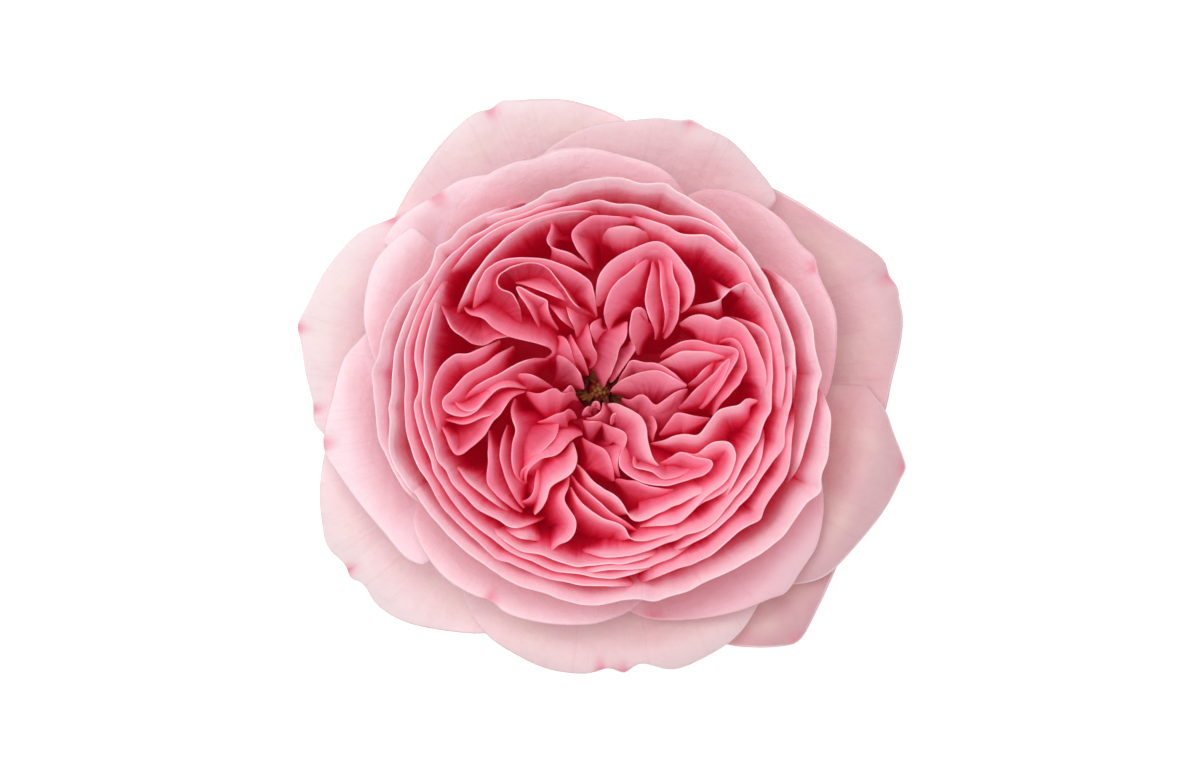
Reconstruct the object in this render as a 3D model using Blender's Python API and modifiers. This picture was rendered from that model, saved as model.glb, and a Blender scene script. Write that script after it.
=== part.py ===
"""A quartered garden rose, picked just under its hip and laid down face up.

The origin is under the middle of the bloom's outline, on the surface that it
lies on, with Z up. The tables are in millimetres from the bloom's own axis,
where its styles are. Every petal is one blade: a grid that is bent from its
root, near the axis, up to a rim that is given as seen from above.
"""
import bpy
import bmesh
from math import ceil, cos, hypot, radians, sin, tau
from mathutils import Matrix, Vector

MM = 0.001

# Petals
BLADE = 0.7                # thickness of a petal
ROOT_RADIUS = 5.2          # where the inner petals start, round the stamens
WHORL_ROOT = 3.0           # where the guard and outer petals start, in their collars
CROWN = [(0, 36), (5, 40), (10, 44.5), (15, 47.5), (20, 49.5), (26, 51), (34, 51.2)]
CROWN_FALL = 0.55          # how much lower a rim lies for each mm beyond the last crown point
CUP_FLOOR = 21.3           # height of the inner petals' roots
CUP_REACH = 36             # a petal inside this radius stands up as a cup
OPEN_REACH = 52            # a petal that reaches this far would lie open
WHORL_REACH = 46           # the smallest reach of a petal outside the cup
WHORL_FLOOR = 19.9         # height of that petal's root
WHORL_STEP = 0.4           # how much lower a root lies for each mm that a petal reaches further
WHORL_TOP = 44.2           # height of that petal where it is highest
WHORL_FALL = 0.85          # how much lower the highest place is for each mm further
WHORL_CREST = 1.5          # how far inside its reach a petal is highest
CURL_LENGTH = 7            # the part of a petal, up to its reach, that curls over
CURL_DROP = 1.6            # how far the rim curls down
OPEN_BEND = 2.2            # how late an open petal turns up; 1 is a plain S
LEAN_BEND = 6              # how late a petal at the centre leans in over the stamens
ROOT_DEPTH = 0.16          # share of an inner petal's way up that is left out, inside the core
CORNER_FALL = 2.5          # how much lower a rim's two ends lie than its middle
OPEN_COLUMN = 6.5          # length of rim for each column of an open petal's grid
RING_COLUMN = 9.0          # the same for the cup's rings
FOLD_COLUMN = 5.2          # the same for the quarters' folds
OPEN_ROWS = 7              # rows from the root to the rim of an open petal
RING_ROWS = 3
FOLD_ROWS = 2

# Turned bodies, as radius and height, from the top of the axis round the outside
CORE = [(0, 27.5), (4.6, 27.5), (14, 29.5), (29, 31.5), (31, 30.3),
        (28, 26.9), (20, 23.7), (8, 21.3), (0, 20.9)]
OUTER_COLLAR = [(0, 20.6), (5.6, 20.6), (6.2, 20.0), (6.0, 18.9), (5.4, 18.4), (0, 18.4)]
GUARD_COLLAR = [(0, 18.1), (5.6, 18.1), (6.2, 17.4), (6.0, 15.8), (5.2, 15.2), (0, 15.2)]
HIP = [(0, 14.9), (4.6, 14.9), (5.2, 14.3), (4.4, 12.6), (4.3, 11.4), (5.2, 8.6), (5.0, 6.0),
       (3.6, 3.6), (2.7, 2.4), (2.7, 0), (0, 0)]

# Sepals: the rib's way out and down, and half the width along it
SEPALS = 5
SEPAL_TURN = 18            # degrees, the first sepal's direction
SEPAL_RIB = [(3.4, 13.6), (7.0, 14.2), (11.0, 13.4), (15.0, 10.8), (18.6, 6.8), (21.4, 2.8), (23.4, 0.4)]
SEPAL_HALF = [2.6, 3.6, 4.1, 3.9, 3.0, 1.8, 0.7]
SEPAL_THICK = 0.8
SEPAL_ARCH = 0.9           # how much lower a sepal's edges hang than its rib

# Stamens and styles
STAMENS = 12
STAMEN_RING = 2.9          # radius of the ring that they stand on
STAMEN_FOOT = 28.2         # height of their feet, inside the disc
STAMEN_TIP = 31.3          # height of their anthers, give or take STAMEN_UNEVEN
STAMEN_UNEVEN = 0.6
STAMEN_LEAN = 3.1          # radius of their anthers, give or take STAMEN_SPREAD
STAMEN_SPREAD = 0.55
STAMEN_JITTER = 0.3        # how far a stamen is turned out of its even place, in radians
STAMEN_CYCLES = (5, 2.4, 1.7)  # how fast turn, spread and height vary from stamen to stamen
ANTHER_TILT = 60           # degrees
STAMEN_DISC = [(1.9, 28.7), (3.9, 28.7), (3.9, 27.8), (1.9, 27.8)]
FILAMENT = 0.42
ANTHER = (0.62, 0.62, 0.95)
STYLE_POST = [(0, 32.6), (0.8, 32.4), (1.15, 31.4), (1.3, 30.0), (1.5, 28.6), (1.5, 27.8), (0, 27.8)]

# Rims, as seen from above: how far the whorl lies open, then points along the rim
GUARDS = [
    (55.5, [(-36.8, 30.3), (-33.4, 36.3), (-27.6, 44.2), (-22, 49.2), (-17.7, 51.4), (-9.9, 51.6),
            (-4.9, 51.2), (2, 49.1), (7, 46), (11, 41)]),
    (51.5, [(-13, 38.5), (-8.4, 43.2), (-4.5, 45.5), (0, 47), (5.3, 47.6), (12.3, 47.8), (16.3, 48),
            (18.3, 46.4), (22.6, 44.5), (28.2, 38.7), (31.5, 33.5)]),
    (55.5, [(26, 38), (30.4, 36), (40.5, 30), (49.3, 24), (51.2, 19.8), (53, 17.5), (53.7, 12),
            (51.6, 1.1), (50.6, -3.8), (48.5, -8)]),
    (52.0, [(47, 1), (50.6, -3.8), (54.5, -14.2), (51.6, -19.1), (45.7, -27), (42.1, -31),
            (36.9, -34), (31, -33.5)]),
    (56.0, [(43.5, -27), (42.1, -31), (38.1, -39.7), (35.3, -44.7), (29.8, -45.6), (22.4, -45.1),
            (18, -43.5)]),
    (51.5, [(-24.5, -34), (-23.4, -38.5), (-20, -43.2), (-15.7, -46.2), (-9.5, -49.2), (-3, -50.1),
            (2, -48.9), (4.1, -50.3), (7.5, -48.1), (12.9, -49.4), (19.1, -46.9), (24.6, -43.1),
            (29, -35)]),
    (55.5, [(-46.5, -6), (-48.7, -10.8), (-49.6, -18.1), (-48.6, -26.5), (-45.7, -30.2), (-44.3, -33.6),
            (-42, -34), (-39.5, -38.1), (-34.2, -41.2), (-26.1, -42.8), (-16.5, -42)]),
    (51.5, [(-34, 32), (-36.8, 30.3), (-42.6, 27.8), (-48.4, 21.3), (-53.7, 11.1), (-52, 2.8),
            (-50.6, -2.5), (-50.7, -5.6), (-46.5, -10)]),
]
OUTERS = [
    (48.5, [(-38, 14), (-41.5, 9.8), (-45.3, 5.2), (-47, -1), (-48.6, -9.5), (-46.9, -13.6),
            (-42.2, -20.2), (-38.1, -25), (-31, -31)]),
    (46.0, [(-33, 29), (-38, 24.6), (-40.5, 20.2), (-41.5, 14), (-41.1, 9.8), (-37.5, 0)]),
    (48.5, [(-17, 38.2), (-25.3, 36.8), (-28.9, 34.3), (-33, 32), (-38.5, 26)]),
    (46.0, [(-28.5, 24.5), (-27.5, 28), (-25.5, 32), (-19.5, 38), (-11.5, 40.6), (-8, 42.3), (-2, 42.6),
            (4, 41.2), (9, 39.8), (15.5, 34)]),
    (48.5, [(14.5, 33.5), (20, 35.5), (24.3, 34.8), (29.3, 32.1), (35, 26), (38.2, 23.2), (38.4, 20.7),
            (41.1, 15), (41.6, 6), (40.5, 0), (38.5, -4)]),
    (48.5, [(39.3, -16), (39.5, -20.3), (38.1, -27.8), (32.8, -35.8), (25.4, -38.6), (18.3, -40.2),
            (9.9, -40.6), (0.5, -37)]),
    (46.0, [(-31.5, -18.5), (-33, -22.7), (-31.1, -28.1), (-27.2, -33.1), (-21.8, -36.3), (-16.5, -39.2),
            (-9.9, -41), (-2.2, -41.3), (5.1, -39.1), (8, -36.8)]),
]

# The cup's rings, from the outside in
RINGS = [
    [(-28.7, 24.8), (-31.5, 19), (-34.6, 16.5), (-37.2, 12.1), (-39.5, 0), (-38.6, -7.7), (-31.5, -20.8)],
    [(-27.5, 23.5), (-33.5, 15.5), (-36.4, 4), (-36.4, -8.5), (-32.5, -18)],
    [(-28.7, 24.8), (-24, 28.2), (-21, 30.3), (-13, 33)],
    [(-21.5, 27), (-16, 30.8), (-8.4, 35), (2, 37.2), (11.9, 36.2), (14.7, 34), (20.6, 30.5), (27.8, 21)],
    [(-30.2, 14.5), (-25.5, 21.8), (-15.5, 30.3), (-8, 32.3), (-0.3, 33.2), (10.5, 31), (17, 29.8),
     (23.5, 26)],
    [(-25, 12.4), (-24, 16), (-19.3, 22.9), (-12.7, 28.7), (-4, 31.3), (3.8, 31.5)],
    [(4, 30.9), (12.4, 28.4), (17.5, 27.1), (24.5, 22.8), (30.3, 14.6), (32.3, 6), (32, 0)],
    [(31.5, 20.5), (35.7, 15), (37.7, 6.8), (38.9, 2.8), (37.6, -3)],
    [(38.5, 4), (40.3, -4), (39.7, -11.5), (38.9, -17.5), (37.5, -19)],
    [(23.8, 26.3), (29.4, 18.8), (33, 10.5), (34.4, 2), (35, -3)],
    [(38.9, -17.5), (34.2, -22.3), (29.8, -27), (21.8, -31.4), (13.9, -35.4), (9.9, -37.2), (7.9, -36.6)],
    [(12, -35), (7.9, -36.6), (0, -37.5), (-9.9, -35.4), (-19.5, -30.8), (-26.1, -25.4), (-32, -16)],
    [(35.8, 5), (35.7, -5.2), (31.8, -15.1), (28, -22.9), (23.8, -24.6)],
    [(27.5, -21), (21.4, -27), (12.7, -31.8), (5.9, -34.2), (-6, -33.9), (-12, -32.3)],
    [(-32.4, 0), (-31.6, -10), (-28.3, -18.6), (-22, -25), (-17.9, -29.4), (-12, -31.7), (-2, -33.2)],
    [(33.2, 6), (33.2, -2.5), (32.3, -9.5), (27.8, -15.5), (21.4, -23.8)],
    [(-31.2, 5), (-30.6, -6), (-27.2, -16), (-22, -23), (-15, -27.9), (-5, -31.6)],
    [(30.2, 8), (29.7, 0), (30, -4), (25.8, -12.7), (20.8, -20)],
    [(-28.5, -6.5), (-26.2, -12.8), (-22, -17.5), (-14.6, -21.7), (-11.3, -21.9)],
    [(-29.6, 2), (-28.9, -8), (-24, -18), (-17.2, -22.5), (-14.2, -23.9), (-7.7, -21.3)],
    [(-21, -23.3), (-14.5, -27.6), (-9.5, -28.7), (-3.7, -30.8), (4, -30), (12, -27.7), (16.8, -26)],
    [(14, 13.4), (19.8, 15.6), (23.3, 17.6), (25.6, 18.8), (29.2, 13.4), (30.3, 8.8)],
    [(-8.4, 29.7), (-9.2, 26), (-8, 24.4), (-3.2, 22.7), (-1.8, 21.5)],
    [(-2, 30.7), (-4.9, 27.1), (-3.4, 23.9), (-1.2, 20.9)],
    [(-1.8, 25.3), (0.5, 27.7), (4.7, 28.6), (8.2, 27.5), (12.1, 24.9)],
]

# The six quarters and the petals between them, as folds round their own hollows
TOP_QUARTER = [
    [(-0.6, 14.6), (-0.5, 18.8), (2.6, 23), (9.2, 25.9), (14.2, 22.5), (16.5, 17.8), (14.2, 13.4)],
    [(4.6, 19.6), (6.8, 23.9), (11.9, 23.9), (13.9, 15.1), (11.4, 8.8)],
    [(1.8, 9.9), (0.6, 13.2), (3, 18.8), (9.1, 23.7)],
    [(9.5, 8.8), (7.9, 15.5), (9.3, 23.2)],
    [(6.7, 6), (5.5, 12.7), (6.8, 14.6), (8.6, 11.5)],
    [(-0.75, 8.2), (-1.75, 10.9), (0.2, 12.7)],
]
RIGHT_QUARTER = [
    [(13.8, 11.6), (16.6, 13.1), (20.8, 11.9), (22.4, 12.7), (26.8, 8.8), (29, 1.6), (28.2, -1.5)],
    [(20, 8), (24, 8.6), (25.7, 3.4), (22.6, -0.8), (20, -4.6)],
    [(10.4, 5.8), (16, 8.75), (24.1, 6.6), (20.9, 0.3), (17.8, -3.5)],
    [(9.9, 4.5), (15.5, 6.8), (22.6, 5.8)],
    [(13.4, -3.3), (18.6, 1.8), (22.6, 5.2), (19.5, -1.5), (17.5, -3.4)],
    [(10.2, -7.8), (13.5, -3.9), (19.3, -4.8)],
    [(8.9, -9.2), (15.3, -7.7), (18.2, -6.6), (21.8, -3), (25.3, -1.4), (27.7, -1.7)],
]
LOWER_RIGHT_QUARTER = [
    [(6.2, -10.5), (6.2, -13.3), (11.3, -15.6), (16.9, -13.1)],
    [(4.9, -8.4), (3.4, -12.1), (5.3, -14.7), (11.3, -16.6), (19.3, -13.8), (17.6, -11.8), (10.4, -13.3)],
    [(14.8, -10.9), (21.4, -8.8), (23.6, -12.6), (16.9, -20.3), (13.4, -23.3), (7, -24)],
    [(19.5, -14.7), (17.9, -17.5), (10.4, -21.5), (6.5, -22.8), (2.7, -18.2), (-3.9, -12.9)],
    [(7, -24.4), (1.75, -21.2), (-5, -14.8)],
    [(16, -24), (7.4, -26.5), (4.3, -25.9), (-1.6, -20.9), (-5, -16.9)],
    [(14.4, -17), (7.6, -16.6), (2.5, -15.8)],
    [(2.5, -14.7), (1.1, -11), (-3.1, -8.3)],
]
LOWER_LEFT_QUARTER = [
    [(-19.5, -7), (-19.7, -16), (-13.6, -21.5)],
    [(-16.3, -6), (-17.4, -12), (-13.2, -20.7)],
    [(-15, -1.4), (-15.3, -12), (-13, -16.6)],
    [(-4.1, -8.1), (-7.7, -11.4), (-11.9, -13.3), (-12.8, -16.4)],
    [(-4.8, -9.1), (-3.9, -12.3), (-8.75, -17.1), (-11.3, -21.9)],
    [(-5.2, -15.2), (-6.3, -19), (-4.2, -23.5), (-5.3, -26.2), (-9, -28.7)],
]
LEFT_QUARTER = [
    [(-17.5, 8.8), (-25.2, 6.3), (-29.3, 0), (-28, -8.6)],
    [(-15.1, 7.8), (-23.4, 2.7), (-27.4, -1.6), (-23.4, -4.7), (-16.9, 0.5), (-12.7, 0.2)],
    [(-8.9, 5.5), (-14.7, 4.5), (-21, 1.1), (-24, -1.8)],
    [(-15.7, 2.9), (-8.1, 0.4)],
    [(-28.3, -6), (-24.5, -11.3), (-19.7, -7.4), (-13, -0.4)],
    [(-12.9, -0.2), (-7.7, 0.5), (-3.6, -1.8)],
    [(-11, -5.6), (-6, -3.6), (-3.9, -5)],
]
UPPER_LEFT_QUARTER = [
    [(-28, 15.5), (-24.5, 9.5), (-20.8, 7.8), (-12, 8.7)],
    [(-22.2, 14.2), (-19.3, 21.5), (-12.5, 23.1), (-5, 21.2), (-1, 17), (-0.4, 12.8)],
    [(-23.8, 14.6), (-18.8, 11), (-8.5, 7.3), (-9.7, 5.6)],
    [(-13.1, 10.6), (-15.1, 16.8), (-17.7, 19), (-11.9, 22.3), (-6.4, 18), (-0.4, 12.7)],
    [(-14.9, 18.7), (-4, 14.7)],
    [(-10.7, 10.8), (-14.5, 17.8), (-9.1, 15.6), (-7.1, 10.6)],
]
CENTRE = [
    [(1.7, -0.2), (5.6, 2.3), (8.9, 3.5), (15.3, 0.8)],
    [(4.2, -1.2), (9.8, -2.2), (15.3, 0.4)],
    [(1.3, -2.4), (5.6, -3.7), (8.1, -8.4), (10.4, -13.2)],
    [(1.1, 1.2), (3.3, 7.6), (5, 12)],
    [(-0.4, 8.2), (0.2, 1)],
    [(0.5, -5.9), (4.7, -7.5), (4.1, -10.5)],
    [(-3.2, -5.6), (0.3, -5.2)],
    [(-8, 6), (-3.8, 3.3), (-2.8, 0.4)],
]

# Colour, as red, green, blue and alpha
GUARD_PINK = (0.86, 0.62, 0.66, 1)
OUTER_PINK = (0.84, 0.50, 0.57, 1)
HEART_PINK = (0.78, 0.25, 0.36, 1)
SEPAL_GREEN = (0.16, 0.30, 0.09, 1)
ANTHER_BROWN = (0.24, 0.11, 0.03, 1)
STYLE_OLIVE = (0.36, 0.25, 0.10, 1)


def remove_everything():
    for thing in list(bpy.data.objects):
        bpy.data.objects.remove(thing)


def make_collection(name):
    collection = bpy.data.collections.new(name)
    bpy.context.scene.collection.children.link(collection)
    return collection


def move_to(thing, collection):
    for old in list(thing.users_collection):
        old.objects.unlink(thing)
    collection.objects.link(thing)


def paint(thing, name, colour, roughness=0.55):
    material = bpy.data.materials.new(name)
    material.use_nodes = True
    shader = material.node_tree.nodes["Principled BSDF"]
    shader.inputs["Base Color"].default_value = colour
    shader.inputs["Roughness"].default_value = roughness
    shader.inputs["Metallic"].default_value = 0
    thing.data.materials.clear()
    thing.data.materials.append(material)


def apply_modifier(thing, modifier):
    bpy.context.view_layer.objects.active = thing
    bpy.ops.object.modifier_apply(modifier=modifier.name)


def turned(name, profile, collection, sides=24):
    """A body turned about the axis from points of radius and height."""
    mesh = bpy.data.meshes.new(name)
    points = [(radius * MM, 0, height * MM) for radius, height in profile]
    closed = profile[0][0] > 0
    edges = [(i, i + 1) for i in range(len(points) - 1)]
    if closed:
        edges.append((len(points) - 1, 0))
    mesh.from_pydata(points, edges, [])
    body = bpy.data.objects.new(name, mesh)
    collection.objects.link(body)
    screw = body.modifiers.new("turn", "SCREW")
    screw.steps = screw.render_steps = sides
    screw.use_merge_vertices = True
    screw.merge_threshold = 0.00001
    apply_modifier(body, screw)
    return body


def along(points, share):
    """A smooth curve through the points, read at a share of its whole length."""
    ends = [points[0]] + points + [points[-1]]
    lengths = [hypot(b[0] - a[0], b[1] - a[1]) for a, b in zip(points, points[1:])]
    left = share * sum(lengths)
    span = 0
    while span < len(lengths) - 1 and left > lengths[span]:
        left -= lengths[span]
        span += 1
    t = min(1, left / lengths[span])
    a, b, c, d = ends[span:span + 4]
    return [0.5 * (2 * b[i] + (c[i] - a[i]) * t + (2 * a[i] - 5 * b[i] + 4 * c[i] - d[i]) * t ** 2
                   + (3 * b[i] - a[i] - 3 * c[i] + d[i]) * t ** 3) for i in range(len(a))]


def crown_height(radius):
    """How high a rim lies at a distance from the axis."""
    for (near, low), (far, high) in zip(CROWN, CROWN[1:]):
        if radius <= far:
            return low + (high - low) * (radius - near) / (far - near)
    return CROWN[-1][1] - CROWN_FALL * (radius - CROWN[-1][0])


def late_rise(share):
    """The height of an open petal, from 0 at its root to 1 at its crest."""
    late = share ** OPEN_BEND
    return late ** 2 * (3 - 2 * late)


def cup_point(x, y, corner, t):
    """A point of an inner petal at t of the way from its root to its rim at x, y.

    It runs out along the floor and then up, or leans in over the stamens.
    """
    radius = hypot(x, y)
    top = crown_height(radius) - corner
    if radius < ROOT_RADIUS:
        here = ROOT_RADIUS + (radius - ROOT_RADIUS) * t ** LEAN_BEND
        return x / radius * here, y / radius * here, CUP_FLOOR + (top - CUP_FLOOR) * t
    openness = min(1, max(0, (radius - CUP_REACH) / (OPEN_REACH - CUP_REACH)))
    out = (1 - openness) * (1 - (1 - t) ** 3) + openness * t
    here = ROOT_RADIUS + (radius - ROOT_RADIUS) * out
    rise = (1 - openness) * (1 - (1 - out) ** (1 / 3)) + openness * late_rise(out)
    return x / radius * here, y / radius * here, CUP_FLOOR + (top - CUP_FLOOR) * rise


def open_point(x, y, reach, corner, t):
    """A point of an open petal at t of the way from its collar to its rim at x, y.

    It rises late, close along the cup, flattens out and curls over. Petals
    of a larger reach lie below and outside those of a smaller one, so that
    whorls never cross.
    """
    radius = hypot(x, y)
    here = WHORL_ROOT + (radius - WHORL_ROOT) * t
    floor = WHORL_FLOOR - WHORL_STEP * (reach - WHORL_REACH)
    top = WHORL_TOP - WHORL_FALL * (reach - WHORL_REACH) - corner
    share = min(1, (here - WHORL_ROOT) / (reach - WHORL_CREST - WHORL_ROOT))
    curl = max(0, 1 - (reach - here) / CURL_LENGTH)
    height = floor + (top - floor) * late_rise(share) - CURL_DROP * curl ** 2
    return x / radius * here, y / radius * here, height


def blade(name, rim, collection, column, rows, reach=None):
    """One petal, as a grid bent to its place and given its thickness."""
    length = sum(hypot(b[0] - a[0], b[1] - a[1]) for a, b in zip(rim, rim[1:]))
    columns = max(2, ceil(length / column))
    bpy.ops.mesh.primitive_grid_add(x_subdivisions=columns, y_subdivisions=rows, size=2)
    petal = bpy.context.active_object
    petal.name = name
    move_to(petal, collection)
    for vertex in petal.data.vertices:
        across = (vertex.co.x + 1) / 2
        up = (vertex.co.y + 1) / 2
        x, y = along(rim, across)
        corner = CORNER_FALL * abs(2 * across - 1) ** 4 * up
        if reach:
            spot = open_point(x, y, reach, corner, up)
        else:
            spot = cup_point(x, y, corner, ROOT_DEPTH + (1 - ROOT_DEPTH) * up)
        vertex.co = Vector(spot) * MM
    mesh = bmesh.new()
    mesh.from_mesh(petal.data)
    bmesh.ops.triangulate(mesh, faces=mesh.faces)
    mesh.to_mesh(petal.data)
    mesh.free()
    shell = petal.modifiers.new("thickness", "SOLIDIFY")
    shell.thickness = BLADE * MM
    shell.offset = 0
    apply_modifier(petal, shell)
    return petal


def keep_largest_shell(body):
    """Fills the hollows that fusing has sealed, and drops loose scraps."""
    mesh = bmesh.new()
    mesh.from_mesh(body.data)
    shells = []
    found = set()
    for first in mesh.verts:
        if first in found:
            continue
        found.add(first)
        shell = [first]
        for vertex in shell:
            for edge in vertex.link_edges:
                other = edge.other_vert(vertex)
                if other not in found:
                    found.add(other)
                    shell.append(other)
        shells.append(shell)
    shells.sort(key=len)
    for shell in shells[:-1]:
        bmesh.ops.delete(mesh, geom=shell, context="VERTS")
    mesh.to_mesh(body.data)
    mesh.free()


def fuse(body, blades):
    """Joins blades to the body that they grow from, as one solid."""
    union = body.modifiers.new("fuse", "BOOLEAN")
    union.operation = "UNION"
    union.operand_type = "COLLECTION"
    union.collection = blades
    apply_modifier(body, union)
    for thing in list(blades.objects):
        bpy.data.objects.remove(thing)
    bpy.data.collections.remove(blades)
    keep_largest_shell(body)


def whorl(name, rims, collar, colour, parts):
    """A whorl of open petals on its collar."""
    blades = make_collection(name + "_blades")
    for number, (reach, rim) in enumerate(rims):
        blade(name + "_" + str(number), rim, blades, OPEN_COLUMN, OPEN_ROWS, reach)
    body = turned(name, collar, parts)
    fuse(body, blades)
    paint(body, name + "_pink", colour)


def heart(parts):
    """The cup's rings and the six quarters, standing out of one core."""
    blades = make_collection("heart_blades")
    folds = (TOP_QUARTER + RIGHT_QUARTER + LOWER_RIGHT_QUARTER + LOWER_LEFT_QUARTER
             + LEFT_QUARTER + UPPER_LEFT_QUARTER + CENTRE)
    for number, rim in enumerate(RINGS):
        blade("ring_" + str(number), rim, blades, RING_COLUMN, RING_ROWS)
    for number, rim in enumerate(folds):
        rows = RING_ROWS if rim in CENTRE else FOLD_ROWS
        blade("fold_" + str(number), rim, blades, FOLD_COLUMN, rows)
    body = turned("heart_petals", CORE, parts)
    fuse(body, blades)
    paint(body, "heart_pink", HEART_PINK)


def sepal(number, collection):
    """One sepal, arched over its rib, bent out and down to the surface."""
    bpy.ops.mesh.primitive_grid_add(x_subdivisions=2, y_subdivisions=len(SEPAL_RIB) - 1, size=2)
    leaf = bpy.context.active_object
    move_to(leaf, collection)
    turn = radians(SEPAL_TURN) + tau * number / SEPALS
    for vertex in leaf.data.vertices:
        across = vertex.co.x
        place = round((vertex.co.y + 1) / 2 * (len(SEPAL_RIB) - 1))
        out, height = SEPAL_RIB[place]
        half = SEPAL_HALF[place]
        arch = SEPAL_ARCH * across ** 2 * half / max(SEPAL_HALF)
        side = across * half
        vertex.co = Vector((out * cos(turn) - side * sin(turn), out * sin(turn) + side * cos(turn),
                            max(height - arch, SEPAL_THICK / 2))) * MM
    mesh = bmesh.new()
    mesh.from_mesh(leaf.data)
    bmesh.ops.triangulate(mesh, faces=mesh.faces)
    mesh.to_mesh(leaf.data)
    mesh.free()
    shell = leaf.modifiers.new("thickness", "SOLIDIFY")
    shell.thickness = SEPAL_THICK * MM
    shell.offset = 0
    apply_modifier(leaf, shell)


def calyx(parts):
    """The hip with its cut end and the five sepals that the bloom lies on."""
    blades = make_collection("sepals")
    for number in range(SEPALS):
        sepal(number, blades)
    body = turned("calyx", HIP, parts)
    fuse(body, blades)
    paint(body, "sepal_green", SEPAL_GREEN, 0.6)


def stamen(number, collection):
    """A filament that leans out from the disc, with an anther across its end."""
    turned_by, spread_by, raised_by = (sin(cycle * number) for cycle in STAMEN_CYCLES)
    turn = tau * number / STAMENS + STAMEN_JITTER * turned_by
    lean = STAMEN_LEAN + STAMEN_SPREAD * spread_by
    height = STAMEN_TIP + STAMEN_UNEVEN * raised_by
    foot = Vector((STAMEN_RING * cos(turn), STAMEN_RING * sin(turn), STAMEN_FOOT))
    tip = Vector((lean * cos(turn), lean * sin(turn), height))
    line = tip - foot
    bpy.ops.mesh.primitive_cone_add(vertices=5, radius1=FILAMENT * MM, radius2=FILAMENT * 0.8 * MM,
                                    depth=line.length * MM, location=(foot + tip) / 2 * MM,
                                    rotation=line.to_track_quat("Z", "X").to_euler())
    move_to(bpy.context.active_object, collection)
    bpy.ops.mesh.primitive_uv_sphere_add(segments=5, ring_count=4, radius=MM)
    anther = bpy.context.active_object
    anther.data.transform(Matrix.Translation(tip * MM) @ Matrix.Rotation(turn, 4, "Z")
                          @ Matrix.Rotation(radians(ANTHER_TILT), 4, "X") @ Matrix.Diagonal((*ANTHER, 1)))
    move_to(anther, collection)


def stamens(parts):
    blades = make_collection("filaments")
    for number in range(STAMENS):
        stamen(number, blades)
    body = turned("stamens", STAMEN_DISC, parts, sides=16)
    fuse(body, blades)
    paint(body, "anther_brown", ANTHER_BROWN, 0.7)


def styles(parts):
    body = turned("styles", STYLE_POST, parts, sides=12)
    paint(body, "style_olive", STYLE_OLIVE, 0.6)


def stand_over_origin(parts):
    """Moves the bloom so that the middle of its outline is over the origin."""
    spots = [vertex.co for piece in parts.objects for vertex in piece.data.vertices]
    lows = [min(spot[axis] for spot in spots) for axis in (0, 1)]
    highs = [max(spot[axis] for spot in spots) for axis in (0, 1)]
    shift = Vector((-(lows[0] + highs[0]) / 2, -(lows[1] + highs[1]) / 2, 0))
    for piece in parts.objects:
        piece.data.transform(Matrix.Translation(shift))


def build():
    remove_everything()
    parts = make_collection("garden_rose")
    calyx(parts)
    whorl("guard_petals", GUARDS, GUARD_COLLAR, GUARD_PINK, parts)
    whorl("outer_petals", OUTERS, OUTER_COLLAR, OUTER_PINK, parts)
    heart(parts)
    stamens(parts)
    styles(parts)
    stand_over_origin(parts)


build()
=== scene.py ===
import bpy
import bmesh
from math import ceil, cos, hypot, radians, sin, tau
from mathutils import Matrix, Vector, noise
from random import Random


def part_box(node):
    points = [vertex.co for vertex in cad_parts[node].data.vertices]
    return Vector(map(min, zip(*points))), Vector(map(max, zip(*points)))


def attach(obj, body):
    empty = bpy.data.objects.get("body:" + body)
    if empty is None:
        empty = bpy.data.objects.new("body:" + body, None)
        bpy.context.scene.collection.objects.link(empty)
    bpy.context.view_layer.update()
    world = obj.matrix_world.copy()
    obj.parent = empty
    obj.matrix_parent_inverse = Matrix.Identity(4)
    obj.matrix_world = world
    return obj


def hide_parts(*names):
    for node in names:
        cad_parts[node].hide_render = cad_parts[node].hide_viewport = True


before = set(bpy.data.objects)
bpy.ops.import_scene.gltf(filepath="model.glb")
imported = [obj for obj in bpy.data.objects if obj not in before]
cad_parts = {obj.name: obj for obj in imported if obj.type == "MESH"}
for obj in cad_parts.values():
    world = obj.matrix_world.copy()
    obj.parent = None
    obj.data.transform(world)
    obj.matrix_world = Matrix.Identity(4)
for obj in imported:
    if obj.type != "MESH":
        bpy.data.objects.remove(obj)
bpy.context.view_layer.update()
mm = 0.001
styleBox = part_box("styles")
axisX = (styleBox[0][0] + styleBox[1][0]) / 2 / mm  # the bloom's own axis, where the tables start
axisY = (styleBox[0][1] + styleBox[1][1]) / 2 / mm
dice = Random(7)


class Wire:
    # a socket that takes part in plain sums
    def __init__(self, shade, socket):
        self.shade = shade
        self.socket = socket

    def sum(self, operation, first, second):
        made = self.shade.node("ShaderNodeMath", {"operation": operation}, {0: first, 1: second})
        return Wire(self.shade, made.outputs[0])

    def __add__(self, other):
        return self.sum("ADD", self, other)

    def __sub__(self, other):
        return self.sum("SUBTRACT", self, other)

    def __rsub__(self, other):
        return self.sum("SUBTRACT", other, self)

    def __mul__(self, other):
        return self.sum("MULTIPLY", self, other)

    __radd__ = __add__
    __rmul__ = __mul__


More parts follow.
